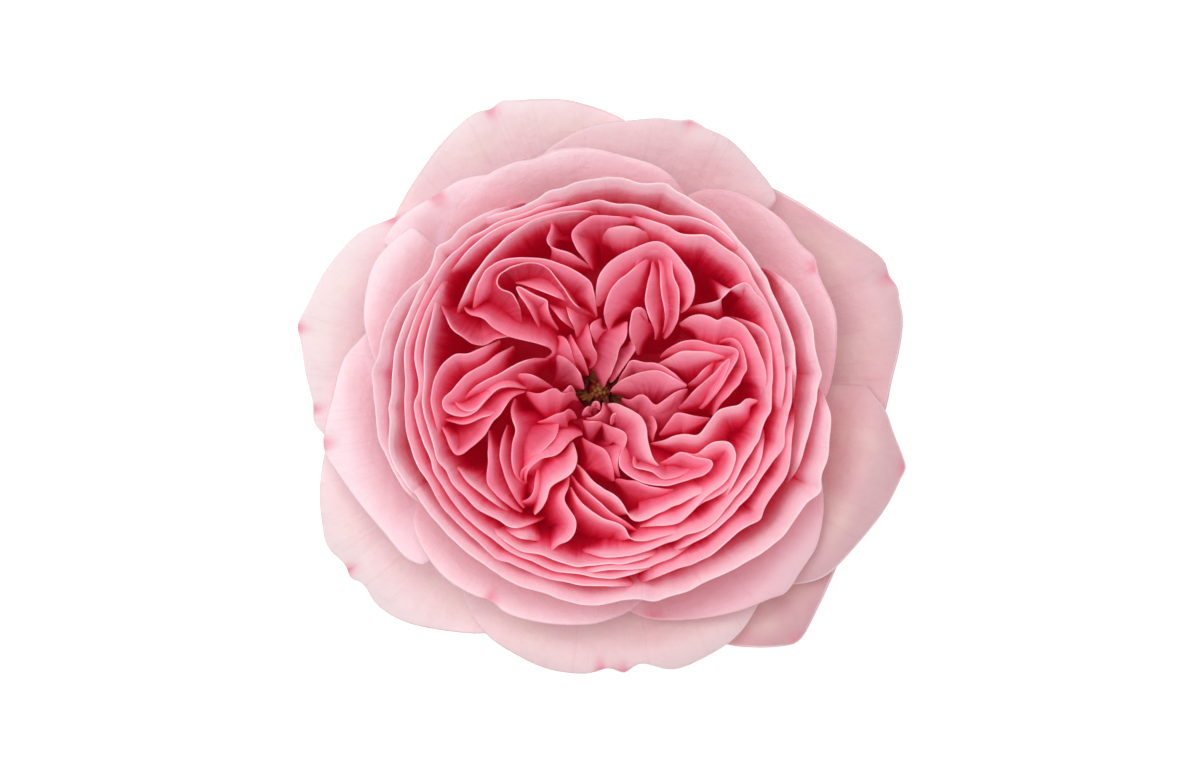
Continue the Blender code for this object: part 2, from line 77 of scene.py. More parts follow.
class Shade:
    # a material, with one way to make any node
    def __init__(self, name):
        self.material = bpy.data.materials.new(name)
        self.material.use_nodes = True
        self.nodes = self.material.node_tree.nodes
        self.links = self.material.node_tree.links
        self.surface = self.nodes["Principled BSDF"]

    def feed(self, socket, value):
        if isinstance(value, Wire):
            self.links.new(value.socket, socket)
        else:
            socket.default_value = value

    def node(self, kind, settings=None, values=None):
        made = self.nodes.new(kind)
        for name, setting in (settings or {}).items():
            if name == "stops":
                ramp = made.color_ramp
                while len(ramp.elements) < len(setting):
                    ramp.elements.new(1.0)
                for stop, (place, colour) in zip(ramp.elements, setting):
                    stop.position = place
                    stop.color = colour
            else:
                setattr(made, name, setting)
        for name, value in (values or {}).items():
            self.feed(made.inputs[name], value)
        return made

    def out(self, made, name=0):
        return Wire(self, made.outputs[name])

    def set(self, **values):
        for name, value in values.items():
            self.feed(self.surface.inputs[name.replace("_", " ")], value)

    def blend(self, share, first, second):
        made = self.node("ShaderNodeMix", {"data_type": "RGBA"}, {0: share, 6: first, 7: second})
        return self.out(made, 2)

    def smooth(self, value, low, high):
        made = self.node("ShaderNodeMapRange", {"interpolation_type": "SMOOTHSTEP"},
                         {"Value": value, "From Min": low, "From Max": high})
        return self.out(made)

    def grain(self, vector, scale, detail=2.0):
        made = self.node("ShaderNodeTexNoise", None,
                         {"Vector": vector, "Scale": scale, "Detail": detail})
        return self.out(made)

    def mark(self, name):
        # a value that a piece holds at each of its points
        return self.out(self.node("ShaderNodeAttribute", {"attribute_name": name}), "Fac")

    def onObject(self):
        return self.out(self.node("ShaderNodeTexCoord"), "Object")

    def across(self, x, y):
        return self.out(self.node("ShaderNodeCombineXYZ", None, {0: x, 1: y}))

    def bump(self, height, distance):
        made = self.node("ShaderNodeBump", None, {"Height": height, "Distance": distance})
        self.feed(self.surface.inputs["Normal"], self.out(made))


def tint(red, green, blue):
    # a colour as seen on screen, 0 to 255, in the renderer's own light values
    def light(part):
        part /= 255
        return part / 12.92 if part <= 0.04045 else ((part + 0.055) / 1.055) ** 2.4
    return light(red), light(green), light(blue), 1.0


petalLook = {
    "veinColour": tint(214, 70, 110),
    "creamColour": tint(238, 228, 214),
    "paintedGlowColour": tint(196, 6, 40),    # painted glow low in the cup, in place of light let in by the petals and bounced between them
    "edgeHighlightWidth": 0.32,                # mm of pale edge, partly a painted highlight
    "roughness": 0.6,
    "gloss": 0.2,
    "cloudScale": 90.0,
    "crinkleScale": 430.0,
    "velvetScale": 2600.0,
    "mottle": 0.05,
    "bumpDepth": 0.00014,
}
petalSkins = {
    # the stops run over a length of mm, from the rim down, and deepen partly as the petals' own colour and
    # partly as painted shade low in the cup; the edge colour is partly a painted rim highlight; the glow
    # is painted light standing in for light let in by the petals and bounced between them
    "guardPetalSkin": {
        "length": 30.0,
        "stops": [(0.00, 238, 220, 223), (0.12, 237, 217, 220), (0.28, 235, 211, 215),
                  (0.50, 233, 205, 210), (1.0, 229, 192, 200)],
        "edge": (234, 206, 211), "blush": (226, 128, 154), "tone": (212, 164, 171),
        "glow": 0.12, "veins": 0.04, "cream": 0.4},
    "outerPetalSkin": {
        "length": 20.0,
        "stops": [(0.00, 238, 218, 224), (0.15, 236, 213, 220), (0.40, 232, 206, 215),
                  (0.65, 228, 199, 209), (1.0, 222, 184, 198)],
        "edge": (230, 184, 196), "blush": (226, 128, 154), "tone": (218, 160, 173),
        "glow": 0.20, "veins": 0.03, "cream": 0.1},
    "collarPetalSkin": {
        "length": 16.0,
        "stops": [(0.00, 236, 208, 216), (0.15, 235, 198, 208), (0.35, 233, 176, 190),
                  (0.60, 228, 138, 160), (1.0, 206, 58, 96)],
        "edge": (242, 218, 224), "blush": (222, 120, 148), "glow": 0.22, "veins": 0.05},
    "cupPetalSkin": {
        "length": 10.5,
        "stops": [(0.00, 241, 180, 195), (0.16, 239, 166, 184), (0.32, 234, 134, 158),
                  (0.50, 221, 80, 114), (0.74, 195, 26, 66), (1.0, 168, 8, 42)],
        "edge": (249, 216, 223), "blush": (214, 76, 112), "glow": 0.21, "veins": 0.05},
    "heartPetalSkin": {
        "length": 12.0,
        "stops": [(0.00, 241, 144, 168), (0.14, 239, 137, 162), (0.32, 234, 116, 146),
                  (0.52, 221, 72, 109), (0.76, 194, 24, 64), (1.0, 166, 8, 42)],
        "edge": (249, 198, 210), "blush": (200, 28, 68), "glow": 0.21, "veins": 0.05},
    # the centre petals are duskier, partly as painted shade deep in the middle
    "centrePetalSkin": {
        "length": 10.0,
        "stops": [(0.00, 239, 148, 170), (0.14, 235, 138, 161), (0.32, 225, 114, 142),
                  (0.52, 205, 68, 103), (0.76, 174, 28, 62), (1.0, 136, 8, 38)],
        "edge": (247, 196, 208), "blush": (190, 56, 90), "glow": 0.2, "veins": 0.05},
}


def petalMaterial(name):
    skin = petalSkins[name]
    paleEdgeAndPaintedLight = tint(*skin["edge"])
    shade = Shade(name)
    place = shade.node("ShaderNodeUVMap", {"uv_map": "petal"})
    parts = shade.node("ShaderNodeSeparateXYZ", None, {0: shade.out(place)})
    along = shade.out(parts, "X") * 100          # mm along the rim
    depth = shade.out(parts, "Y") * 100          # mm down from the rim
    spot = shade.onObject()
    streaks = shade.grain(shade.across(along, depth * 0.09), 1.1, 3.0)
    veinLines = shade.grain(shade.across(along + streaks * 1.6, depth * 0.05), 0.8, 1.0)
    cloud = shade.grain(spot, petalLook["cloudScale"], 3.0)
    velvet = shade.grain(spot, petalLook["velvetScale"], 2.0)
    crinkle = shade.grain(spot, petalLook["crinkleScale"], 4.0)
    uneven = 0.4 + streaks * 0.85 + cloud * 0.35
    # the colour deepens down from the rim, partly the petals' own colour and partly painted shade low in
    # the cup
    stops = [(share, tint(*colour)) for share, *colour in skin["stops"]]
    ramp = shade.node("ShaderNodeValToRGB", {"stops": stops}, {0: depth * uneven * (1 / skin["length"])})
    colour = shade.out(ramp)
    # painted shade on the guard and outer petals turned from the key light, partly their own duskier tone
    if "tone" in skin:
        colour = shade.blend(shade.mark("tone") * (0.7 + 0.6 * cloud), colour, tint(*skin["tone"]))
    if "cream" in skin:
        creamMask = shade.smooth(cloud, 0.38, 0.72) * skin["cream"] * shade.smooth(depth, 1.0, 6.0)
        colour = shade.blend(creamMask, colour, petalLook["creamColour"])
    veinMask = shade.smooth(veinLines, 0.55, 0.72)
    mottle = shade.smooth(crinkle, 0.45, 0.75)
    colour = shade.blend(veinMask * skin["veins"] + mottle * petalLook["mottle"], colour,
                         petalLook["veinColour"])
    blush = shade.mark("blush")                  # below 0 a face pales with painted light, above it reddens: at crease tips the petals' own blush, on the folds painted shade
    colour = shade.blend(shade.smooth(0 - blush, 0.0, 1.0) * 0.7, colour, paleEdgeAndPaintedLight)
    colour = shade.blend(shade.smooth(blush, 0.0, 1.0) * (0.5 + 0.6 * streaks), colour,
                         tint(*skin["blush"]))
    # a pale rim line, partly the petals' paler margin and partly a painted highlight
    edge = 1 - shade.smooth(depth, petalLook["edgeHighlightWidth"] * 0.3, petalLook["edgeHighlightWidth"])
    colour = shade.blend(edge * (0.2 + 0.7 * shade.smooth(cloud, 0.36, 0.62)), colour, paleEdgeAndPaintedLight)
    # painted glow, in place of light let in by the petals and bounced between them: deeper than the petal,
    # and crimson low in the cup
    deepShare = 0.0 if "tone" in skin else 1.0
    paintedGlowTint = shade.node("ShaderNodeMix", {"data_type": "RGBA", "blend_type": "MULTIPLY"},
                         {0: deepShare, 6: colour, 7: colour})
    deepMask = shade.smooth(depth, 1.5, 9.0) * deepShare
    paintedGlowColour = shade.blend(deepMask, shade.out(paintedGlowTint, 2), petalLook["paintedGlowColour"])
    shade.set(Base_Color=colour, Roughness=petalLook["roughness"] - 0.12 * streaks,
              Specular_IOR_Level=petalLook["gloss"], Emission_Color=paintedGlowColour,
              Emission_Strength=skin["glow"])
    shade.bump(streaks * 0.7 + veinMask * 0.3 + velvet * 0.25 + crinkle * 2.0, petalLook["bumpDepth"])
    return shade.material


def plantMaterial(name, dark, light, roughness, glow=0.0):
    shade = Shade(name)
    spot = shade.onObject()
    patches = shade.grain(spot, 260.0, 3.0)
    pores = shade.grain(spot, 3200.0, 2.0)
    colour = shade.blend(shade.smooth(patches, 0.3, 0.7), tint(*dark), tint(*light))
    shade.set(Base_Color=colour, Roughness=roughness + (pores - 0.5) * 0.2, Specular_IOR_Level=0.35,
              Emission_Color=tint(*dark), Emission_Strength=glow)
    shade.bump(patches * 0.6 + pores * 0.4, 0.00015)
    return shade.material


guardMaterial = petalMaterial("guardPetalSkin")
outerMaterial = petalMaterial("outerPetalSkin")
collarMaterial = petalMaterial("collarPetalSkin")
ringMaterial = petalMaterial("cupPetalSkin")
heartMaterial = petalMaterial("heartPetalSkin")
centreMaterial = petalMaterial("centrePetalSkin")
# the core is coloured as the shaded pits between the folds, which is painted shade, and glows with painted
# light
coreMaterial = plantMaterial("heartCoreWithPaintedShade", (180, 8, 40), (204, 26, 62), 0.7, 0.18)
rootMaterial = plantMaterial("petalRoots", (196, 160, 120), (226, 190, 176), 0.6)
hipMaterial = plantMaterial("hipSkin", (70, 96, 44), (112, 134, 66), 0.5)
sepalMaterial = plantMaterial("sepalSkin", (62, 92, 40), (104, 128, 62), 0.62)
cutMaterial = plantMaterial("cutPith", (186, 196, 132), (214, 218, 166), 0.8)
filamentMaterial = plantMaterial("filamentSkin", (96, 14, 20), (140, 44, 38), 0.5)
antherMaterial = plantMaterial("dryPollen", (94, 34, 22), (156, 96, 46), 0.85)
styleMaterial = plantMaterial("styleSkin", (128, 74, 30), (170, 124, 60), 0.6)
print("materials")

rimSteps = 12  # short straight bits between two given points


def smoothRim(points):
    # a smooth line that passes the given points, read at any share of its length
    ends = [points[0]] + points + [points[-1]]
    spots = []
    for a, b, c, d in zip(ends, ends[1:], ends[2:], ends[3:]):
        for step in range(rimSteps):
            t = step / rimSteps
            spots.append(tuple(0.5 * (2 * b[i] + (c[i] - a[i]) * t
                                      + (2 * a[i] - 5 * b[i] + 4 * c[i] - d[i]) * t ** 2
                                      + (3 * b[i] - a[i] - 3 * c[i] + d[i]) * t ** 3) for i in (0, 1)))
    spots.append(points[-1])
    marks = [0.0]
    for a, b in zip(spots, spots[1:]):
        marks.append(marks[-1] + hypot(b[0] - a[0], b[1] - a[1]))

    def read(share):
        goal = min(max(share, 0.0), 1.0) * marks[-1]
        low, high = 0, len(marks) - 2
        while low < high:
            middle = (low + high + 1) // 2
            if marks[middle] <= goal:
                low = middle
            else:
                high = middle - 1
        t = (goal - marks[low]) / max(marks[low + 1] - marks[low], 1e-9)
        a, b = spots[low], spots[low + 1]
        return a[0] + (b[0] - a[0]) * t, a[1] + (b[1] - a[1]) * t

    def readSide(share, reach):
        # the rim's left side, evened out over a short stretch so that sharp folds fan
        a = read(share - reach / marks[-1])
        b = read(share + reach / marks[-1])
        length = hypot(b[0] - a[0], b[1] - a[1]) or 1.0
        return -(b[1] - a[1]) / length, (b[0] - a[0]) / length

    return read, readSide, marks[-1]


def readEven(values, share):
    # evenly spaced values, joined smoothly
    place = min(max(share, 0.0), 1.0) * (len(values) - 1)
    low = min(int(place), len(values) - 2)
    t = place - low
    t = t * t * (3 - 2 * t)
    return values[low] * (1 - t) + values[low + 1] * t


def readSlope(table, radius, fall=0.0):
    for (near, low), (far, high) in zip(table, table[1:]):
        if radius <= far:
            return low + (high - low) * (radius - near) / (far - near)
    return table[-1][1] - fall * (radius - table[-1][0])


def bell(distance, half):
    # 1 in the middle, next to nothing beyond twice the half width
    return 2.718 ** (-(distance / half) ** 2)


def wave(x, y, size, seed):
    # a smooth unevenness between -1 and 1, with humps about size mm wide
    return noise.noise(Vector((x / size, y / size, seed * 7.31)))


def aroundAxis(radius, turn, height):
    return Vector((axisX + radius * cos(turn), axisY + radius * sin(turn), height)) * mm


def newGrid(name, columns, rows):
    bpy.ops.object.select_all(action="DESELECT")
    bpy.ops.mesh.primitive_grid_add(x_subdivisions=columns, y_subdivisions=rows, size=2)
    piece = bpy.context.active_object
    piece.name = name
    piece.data.name = name
    piece.data.uv_layers[0].name = "petal"
    return piece


def shapeGrid(piece, rows, findPoint, uvStart):
    # findPoint gives x, y, z, mm along, mm down and the mark of blush and painted light for a place across
    # and a row
    mesh = piece.data
    spots, marks, blushAndPaintedLightValues = [], [], []
    for vertex in mesh.vertices:
        across = (vertex.co.x + 1) / 2
        row = round((vertex.co.y + 1) / 2 * rows)
        x, y, z, along, down, blush = findPoint(across, row)
        spots += [(x + axisX) * mm, (y + axisY) * mm, z * mm]
        marks.append((uvStart + along, down))
        blushAndPaintedLightValues.append(blush)
    mesh.vertices.foreach_set("co", spots)
    layer = mesh.uv_layers[0].data
    for loop in mesh.loops:
        along, down = marks[loop.vertex_index]
        layer[loop.index].uv = (along / 100, down / 100)
    mesh.attributes.new("blush", "FLOAT", "POINT").data.foreach_set("value", blushAndPaintedLightValues)
    mesh.update()


def applyModifier(piece, kind, **settings):
    modifier = piece.modifiers.new(kind, kind)
    for name, value in settings.items():
        setattr(modifier, name, value)
    bpy.context.view_layer.objects.active = piece
    bpy.ops.object.modifier_apply(modifier=modifier.name)


def thicken(piece, thickness):
    applyModifier(piece, "SOLIDIFY", thickness=thickness * mm, offset=0)
    applyModifier(piece, "SUBSURF", levels=1, render_levels=1)
    piece.data.shade_smooth()


def joinPieces(name, pieces):
    bpy.ops.object.select_all(action="DESELECT")
    for piece in pieces:
        piece.select_set(True)
    bpy.context.view_layer.objects.active = pieces[0]
    bpy.ops.object.join()
    joined = bpy.context.active_object
    joined.name = name
    joined.data.name = name
    return joined


def finishPiece(piece, node, material):
    piece.data.materials.clear()
    piece.data.materials.append(material)
    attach(piece, "root")
    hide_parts(node)


def turnProfile(name, profile, sides):
    # a body spun about the axis from points of radius and height
    bpy.ops.object.select_all(action="DESELECT")
    bpy.ops.mesh.primitive_plane_add(size=1)
    piece = bpy.context.active_object
    piece.name = name
    piece.data.name = name
    mesh = bmesh.new()
    edge = [mesh.verts.new((radius * mm, 0, height * mm)) for radius, height in profile]
    lines = [mesh.edges.new(pair) for pair in zip(edge, edge[1:])]
    bmesh.ops.spin(mesh, geom=edge + lines, cent=(0, 0, 0), axis=(0, 0, 1), angle=tau, steps=sides)
    bmesh.ops.remove_doubles(mesh, verts=mesh.verts, dist=0.00001)
    bmesh.ops.recalc_face_normals(mesh, faces=mesh.faces)
    bmesh.ops.translate(mesh, verts=mesh.verts, vec=(axisX * mm, axisY * mm, 0))
    mesh.to_mesh(piece.data)
    mesh.free()
    piece.data.shade_smooth()
    return piece


guardWhorl = {
    "thickness": 0.42,
    "column": 1.7,          # mm of rim for each column
    "rows": 20,
    "dome": 1.2,            # how much further the rim curls down
    "wave": 0.9,
    "creases": [            # tip of a fold in the rim: x, y, depth, half width, length inwards
        (-19.2, 49.5, 1.0, 1.3, 9), (4.1, -50.3, 1.3, 1.6, 8), (0.2, -49.5, 0.7, 1.2, 5),
        (51.2, 19.8, 0.9, 1.5, 9), (54.5, -14.2, 1.0, 1.7, 12), (-44.6, -32.2, 1.0, 1.3, 8),
        (-53.7, 11.1, 0.9, 1.5, 9), (-50.6, -3.5, 0.8, 1.2, 6), (16.3, 48.0, 1.0, 1.4, 8),
        (35.3, -44.7, 0.7, 1.6, 8), (-36.8, 30.3, 0.7, 1.6, 7)],
    # painted shade on the petals turned from the key light, partly their own duskier tone
    "tonesAndPaintedShade": {"guardPetal3": 0.7, "guardPetal4": 0.8, "guardPetal5": 0.95, "guardPetal6": 0.3,
              "guardPetal7": 0.05, "guardPetal2": 0.3},
}
guardPetals = {             # how far each petal reaches from the axis, and its rim
    "guardPetal1": (55.5, [(-36.8, 30.3), (-33.4, 36.3), (-27.6, 44.2), (-22, 49.2), (-19.2, 49.5),
        (-17.7, 51.4), (-15.7, 51.2), (-9.9, 51.6), (-4.9, 51.2), (2, 49.1), (7, 46), (11, 41)]),
    "guardPetal2": (51.5, [(-13, 38.5), (-11.3, 40.7), (-8.4, 43.2), (-4.5, 45.5), (0, 47), (5.3, 47.6),
        (9.9, 48), (12.3, 47.8), (13.9, 47.4), (16.3, 48), (18.3, 46.4), (22.6, 44.5), (25.8, 41.5),
        (28.2, 38.7), (30.4, 36), (31.5, 33.5)]),
    "guardPetal3": (55.5, [(26, 38), (30.4, 36), (35.7, 33.1), (40.5, 30), (45.7, 26.6), (49.3, 24),
        (50.8, 22.4), (51.2, 19.8), (52.8, 18.6), (53, 15.8), (53.7, 13), (53.2, 7.9), (51.6, 1.1),
        (50.6, -3.8), (48.5, -8)]),
    "guardPetal4": (52, [(47, 1), (50.6, -3.8), (51.6, -6.8), (53.2, -10.7), (54.5, -14.2), (53.6, -15.1),
        (51.6, -19.1), (49.3, -22.7), (45.7, -27), (42.1, -31), (39.7, -33), (36.9, -34), (33.8, -34.4),
        (31, -33.5)]),
    "guardPetal5": (56, [(43.5, -27), (42.1, -31), (40.5, -34.6), (38.1, -39.7), (36.5, -42.9),
        (35.3, -44.7), (33.8, -45.2), (29.8, -45.6), (25.8, -45.5), (22.4, -45.1), (18, -43.5)]),
    "guardPetal6": (51.5, [(-24.5, -34), (-24.2, -36.3), (-23.4, -38.5), (-20, -43.2), (-15.7, -46.2),
        (-9.5, -49.2), (-3, -50.1), (0, -49.5), (2, -48.9), (4.1, -50.3), (5.5, -49.1), (7.5, -48.1),
        (12.9, -49.4), (19.1, -46.9), (24.6, -43.1), (28.2, -37.5), (29, -35)]),
    "guardPetal7": (55.5, [(-46.5, -6), (-48.7, -10.8), (-49.6, -18.1), (-49, -25), (-48.1, -28.1),
        (-45.7, -30.2), (-44.7, -31.5), (-44.3, -33.6), (-42, -34), (-39.5, -38.1), (-34.2, -41.2),
        (-26.1, -42.8), (-20, -43.2), (-16.5, -42)]),
    "guardPetal8": (51.5, [(-34, 32), (-36.8, 30.3), (-42.6, 27.8), (-48.4, 21.3), (-51.8, 14.8),
        (-53.7, 11.1), (-52.9, 9), (-52, 2.8), (-50.6, -2.5), (-50.7, -5.6), (-48.7, -7.9),
        (-46.5, -10)]),
}
outerWhorl = {
    "thickness": 0.40,
    "column": 1.6,
    "rows": 20,
    "dome": 0.6,
    "wave": 0.8,
    "creases": [(-48.7, -9.5, 0.5, 1.6, 6), (-19.2, -36.9, 0.5, 1.2, 6), (9.9, -40.8, 0.7, 1.4, 6),
                (38.4, 22, 0.5, 1.4, 6), (-28.9, 34.3, 0.6, 1.6, 6)],
    # painted shade on the petals turned from the key light, partly their own duskier tone
    "tonesAndPaintedShade": {"outerPetal5": 0.25, "outerPetal6": 0.6, "outerPetal7": 0.15},
}
outerPetals = {
    "outerPetal1": (48.5, [(-38, 14), (-41.5, 9.8), (-45.3, 5.2), (-47, -1), (-48.7, -8), (-48.5, -11),
        (-46.9, -13.6), (-42.2, -20.2), (-38.1, -25), (-34.2, -29.7), (-31, -31)]),
    "outerPetal2": (46, [(-33, 29), (-38, 24.6), (-40.5, 20.2), (-41.5, 14), (-41.1, 9.8), (-39.5, 4.4),
        (-37.5, 0)]),
    "outerPetal3": (48.5, [(-17, 38.2), (-21, 37.9), (-25.3, 36.8), (-28.9, 34.3), (-33, 32), (-36, 29.5),
        (-38.5, 26)]),
    "outerPetal4": (46, [(-28.5, 24.5), (-27.5, 28), (-25.5, 32), (-23, 35), (-19.5, 38), (-15, 40),
        (-11.5, 40.6), (-8, 42.3), (-2, 42.6), (4, 41.2), (9, 39.8), (12.5, 37.8), (15.5, 34)]),
    "outerPetal5": (48.5, [(14.5, 33.5), (16.5, 35), (20, 35.5), (24.3, 34.8), (29.3, 32.1), (32.9, 29.2),
        (35, 26), (38.2, 23.2), (38.4, 20.7), (41.1, 15), (41.8, 11.4), (41.6, 6), (40.5, 0),
        (38.5, -4)]),
    "outerPetal6": (48.5, [(39.3, -16), (39.5, -20.3), (39.1, -23.8), (38.1, -27.8), (35.7, -31.4),
        (32.8, -35.8), (30.2, -36.6), (25.4, -38.6), (18.3, -40.2), (9.9, -40.6), (5.1, -39.1),
        (0.5, -37)]),
    "outerPetal7": (46, [(-31.5, -18.5), (-33, -22.7), (-31.1, -28.1), (-27.2, -33.1), (-21.8, -36.3),
        (-19.2, -36.9), (-16.5, -39.2), (-9.9, -41), (-2.2, -41.3), (2, -40.3), (5.1, -39.1),
        (8, -36.8)]),
}
whorlShape = {
    "root": 3.0,
    "least": 46,         # the smallest reach
    "floor": 19.9,       # height of the root of a petal with that reach
    "step": 0.4,         # how much lower a root lies for each mm that a petal reaches further
    "top": 44.2,         # height of that petal where it is highest
    "fall": 0.85,        # how much lower the highest place is for each mm further
    "crest": 1.5,        # how far inside its reach a petal is highest
    "curlLength": 7.0,
    "curlDrop": 1.6,
    "bend": 2.2,
    "cornerDrop": 2.5,   # how much lower a rim's two ends lie
    "domeLength": 13,
    "blushLength": 2.2,
}


def whorlPoint(x, y, reach, corner, t):
    # nested petals: close along the cup, then flat, then curled over
    radius = hypot(x, y)
    root = whorlShape["root"]
    here = root + (radius - root) * t
    further = reach - whorlShape["least"]
    floor = whorlShape["floor"] - whorlShape["step"] * further
    top = whorlShape["top"] - whorlShape["fall"] * further - corner
    late = min(1, (here - root) / (reach - whorlShape["crest"] - root)) ** whorlShape["bend"]
    curl = max(0, 1 - (reach - here) / whorlShape["curlLength"])
    height = floor + (top - floor) * late ** 2 * (3 - 2 * late) - whorlShape["curlDrop"] * curl ** 2
    return x / radius * here, y / radius * here, height, radius - here


def makeWhorl(whorl, petals, node, material):
    for number, (name, (reach, rim)) in enumerate(petals.items()):
        read, readSide, length = smoothRim(rim)
        rows = whorl["rows"]

        def findPoint(across, row):
            x, y = read(across)
            t = (row / rows) ** 0.8             # closer rows towards the rim
            corner = whorlShape["cornerDrop"] * abs(2 * across - 1) ** 4 * t
            px, py, pz, down = whorlPoint(x, y, reach, corner, t)
            near = max(0.0, 1 - down / whorlShape["domeLength"])    # 1 at the rim, 0 deeper in
            pz -= whorl["dome"] * near ** 2.2
            pz += whorl["wave"] * near * (wave(px, py, 11, number) + 0.5 * wave(px, py, 4.5, number + 30))
            blush = 0.0
            for cx, cy, deep, half, reachIn in whorl["creases"]:
                size = hypot(cx, cy)
                aside = (px * cy - py * cx) / size
                inwards = size - (px * cx + py * cy) / size
                if abs(aside) < 4 * half and inwards < 2 * reachIn:
                    pz -= deep * bell(aside, half) * max(0, 1 - max(0, inwards) / reachIn)
                    blush = max(blush, bell(aside, half) * bell(inwards, whorlShape["blushLength"]))
            return px, py, pz, length * across, down, blush

        petal = newGrid(name, ceil(length / whorl["column"]), rows)
        shapeGrid(petal, rows, findPoint, 137 * number)
        tonesAndPaintedShade = [whorl["tonesAndPaintedShade"].get(name, 0.0)] * len(petal.data.vertices)
        petal.data.attributes.new("tone", "FLOAT", "POINT").data.foreach_set("value", tonesAndPaintedShade)
        thicken(petal, whorl["thickness"])
        finishPiece(petal, node, material)
    print(node)


makeWhorl(guardWhorl, guardPetals, "guard_petals", guardMaterial)
makeWhorl(outerWhorl, outerPetals, "outer_petals", outerMaterial)

crown = [(0, 36), (5, 40), (10, 44.5), (15, 47.5), (20, 49.5), (26, 51), (34, 51.2)]
crownFall = 0.55
coreTop = [(0, 26.5), (4.6, 26.5), (14, 28.5), (29, 30.5), (36, 30.0)]
foldShape = {
    "thickness": 0.20,
    "column": 0.95,
    "endFall": 4.5,         # how far a rim's two ends sink between their neighbours
    "endLength": 4.0,
    "dive": 2.4,            # mm down for each mm sideways, below the face
    "sunk": 1.4,            # how far a foot goes into the core
    "wave": 0.35,           # unevenness of a rim, up and down
    "nick": 0.16,           # and sideways
    "flat": 1.0,            # share of the widths below
    "ripe": 0.5,            # how much deeper than its rim a face is coloured, as painted shade
}
ringShape = dict(foldShape, thickness=0.23, column=1.15, endFall=14.0, endLength=7.0, dive=2.6,
                 flat=0.75, ripe=0.0)
centreShape = dict(foldShape, dive=1.7, endFall=2.2, endLength=2.5, wave=0.5, nick=0.3)

# Each row: lift, widths of the face that shows from the rim's start to its end, and the rim.
# A ring's face is on the side of the axis; a fold's is left of its way where the width is plus.
collarRings = {
    "w1": (0, [1, 1.5, 2.5, 3, 2.2, 2, 2.5, 2.5, 3, 3, 2.6, 2.2, 2.6, 3, 2], [(-13, 33), (-18, 31.6),
        (-21, 30.3), (-23.4, 29), (-25, 27.6), (-26.4, 25.9), (-28.5, 25.1), (-28.9, 23.4), (-29.3, 22),
        (-30.2, 20.3), (-31.4, 19.2), (-33, 18), (-34.4, 16.5), (-35.8, 14.5), (-37, 12.3), (-37.9, 10),
        (-38.4, 7.5), (-39, 5), (-39.9, 3.2), (-39.6, 1), (-39.5, -1), (-39.2, -3), (-39, -6),
        (-38.5, -9), (-37.5, -11), (-36.3, -13.5), (-35, -16), (-33.7, -17.9), (-32, -19.4), (-30, -20.2),
        (-28, -20.8)]),
    "w2": (0.2, [1, 1.4, 1.6, 1.4, 1, 1.6, 1.6, 1, 1.6, 2, 1.6], [(-27.5, 23.5), (-30, 20), (-32, 16.5),
        (-33.6, 13), (-34.6, 10.5), (-35.6, 7.5), (-36.1, 4), (-36.3, 1.5), (-36.3, -1), (-36.9, -3),
        (-36.5, -5.2), (-36.8, -8.5), (-36.7, -11), (-35.4, -14), (-33.6, -16.8), (-31.6, -18.8),
        (-29.6, -20.4), (-27.8, -21.4)]),
    "n1": (0, [1, 1.6, 1.8, 2.4, 2.6, 2.6, 2.4, 2.2, 2.2, 2.2, 2.2, 1.2, 1, 1, 0.8, 0.5], [(-24.5, 27),
        (-21.5, 29), (-18.8, 30.4), (-16, 31.3), (-14, 31.8), (-12, 32.8), (-10.5, 33.5), (-9.5, 34.5),
        (-8, 35), (-6.5, 35.2), (-5, 36), (-3.5, 36.4), (-2, 36.6), (0, 36.9), (2, 37.1), (4, 37),
        (6, 36.4), (8, 36), (10, 36), (11.4, 36.1), (12.4, 35.5), (13.3, 34.7), (14.8, 34), (16, 33.2),
        (18, 32), (20, 30.8), (21.5, 29.5), (22.5, 28.3), (24, 26.3), (26, 24.2), (27.2, 22.4),
        (28.3, 20.7), (29.3, 19.3), (29.7, 17.8), (31, 15), (32, 13), (32.9, 11), (33.5, 9), (34, 7),
        (34, 5), (34.2, 3), (34.1, 0), (33.8, -3)]),
    "e1": (0, [1.6, 1.8, 2.2, 2.2, 1.8, 1.4, 1.2, 1.2, 0.8], [(28.4, 21.6), (29.9, 21), (31.6, 19.9),
        (33.1, 18.5), (34.5, 17), (35.3, 15.2), (36.2, 13.2), (36.9, 11.8), (37.3, 10), (37.5, 8),
        (37.8, 6), (38.4, 4.2), (38.9, 2.8), (38.2, 1), (37.9, 0), (37.8, -2), (37.3, -4), (36.9, -6),
        (36.3, -8), (35.5, -11), (34.6, -13.6), (33.4, -15.7), (32, -17.5)]),
    "e2": (0, [1, 2.2, 3.4, 4, 4.2, 3.6, 3.8, 4.2, 4.4, 4, 3.4, 2.8, 3, 3.4, 3, 2.4, 2, 1.8, 1.6, 1.2],
        [(37.5, 2), (38.5, 0.4), (39.2, -0.8), (39.8, -2.5), (40.3, -4), (40.4, -6), (40.2, -8),
        (40, -10), (39.8, -12), (39.3, -13.3), (38.8, -14.5), (38.6, -16), (38.8, -17.7), (37.7, -18.6),
        (36.3, -19.5), (35, -21.2), (33.8, -23.2), (32.2, -25.4), (30, -27.3), (28, -28.7), (26, -29.8),
        (22.5, -31.8), (19, -33.2), (16, -34.8), (14, -35.6), (12, -36), (10.4, -36.7), (9.2, -36.9),
        (7.6, -36.5), (5, -36.5), (2, -37.1), (-1, -37.6), (-4, -37.2), (-7, -36.5), (-10, -35.3),
        (-13, -34.5), (-16, -33.3), (-19.5, -30.9), (-23.4, -28.1), (-26.1, -25.6), (-28.6, -22.9),
        (-30.5, -20.5), (-32.4, -17.6), (-34, -14.8), (-35, -12.5)]),
}
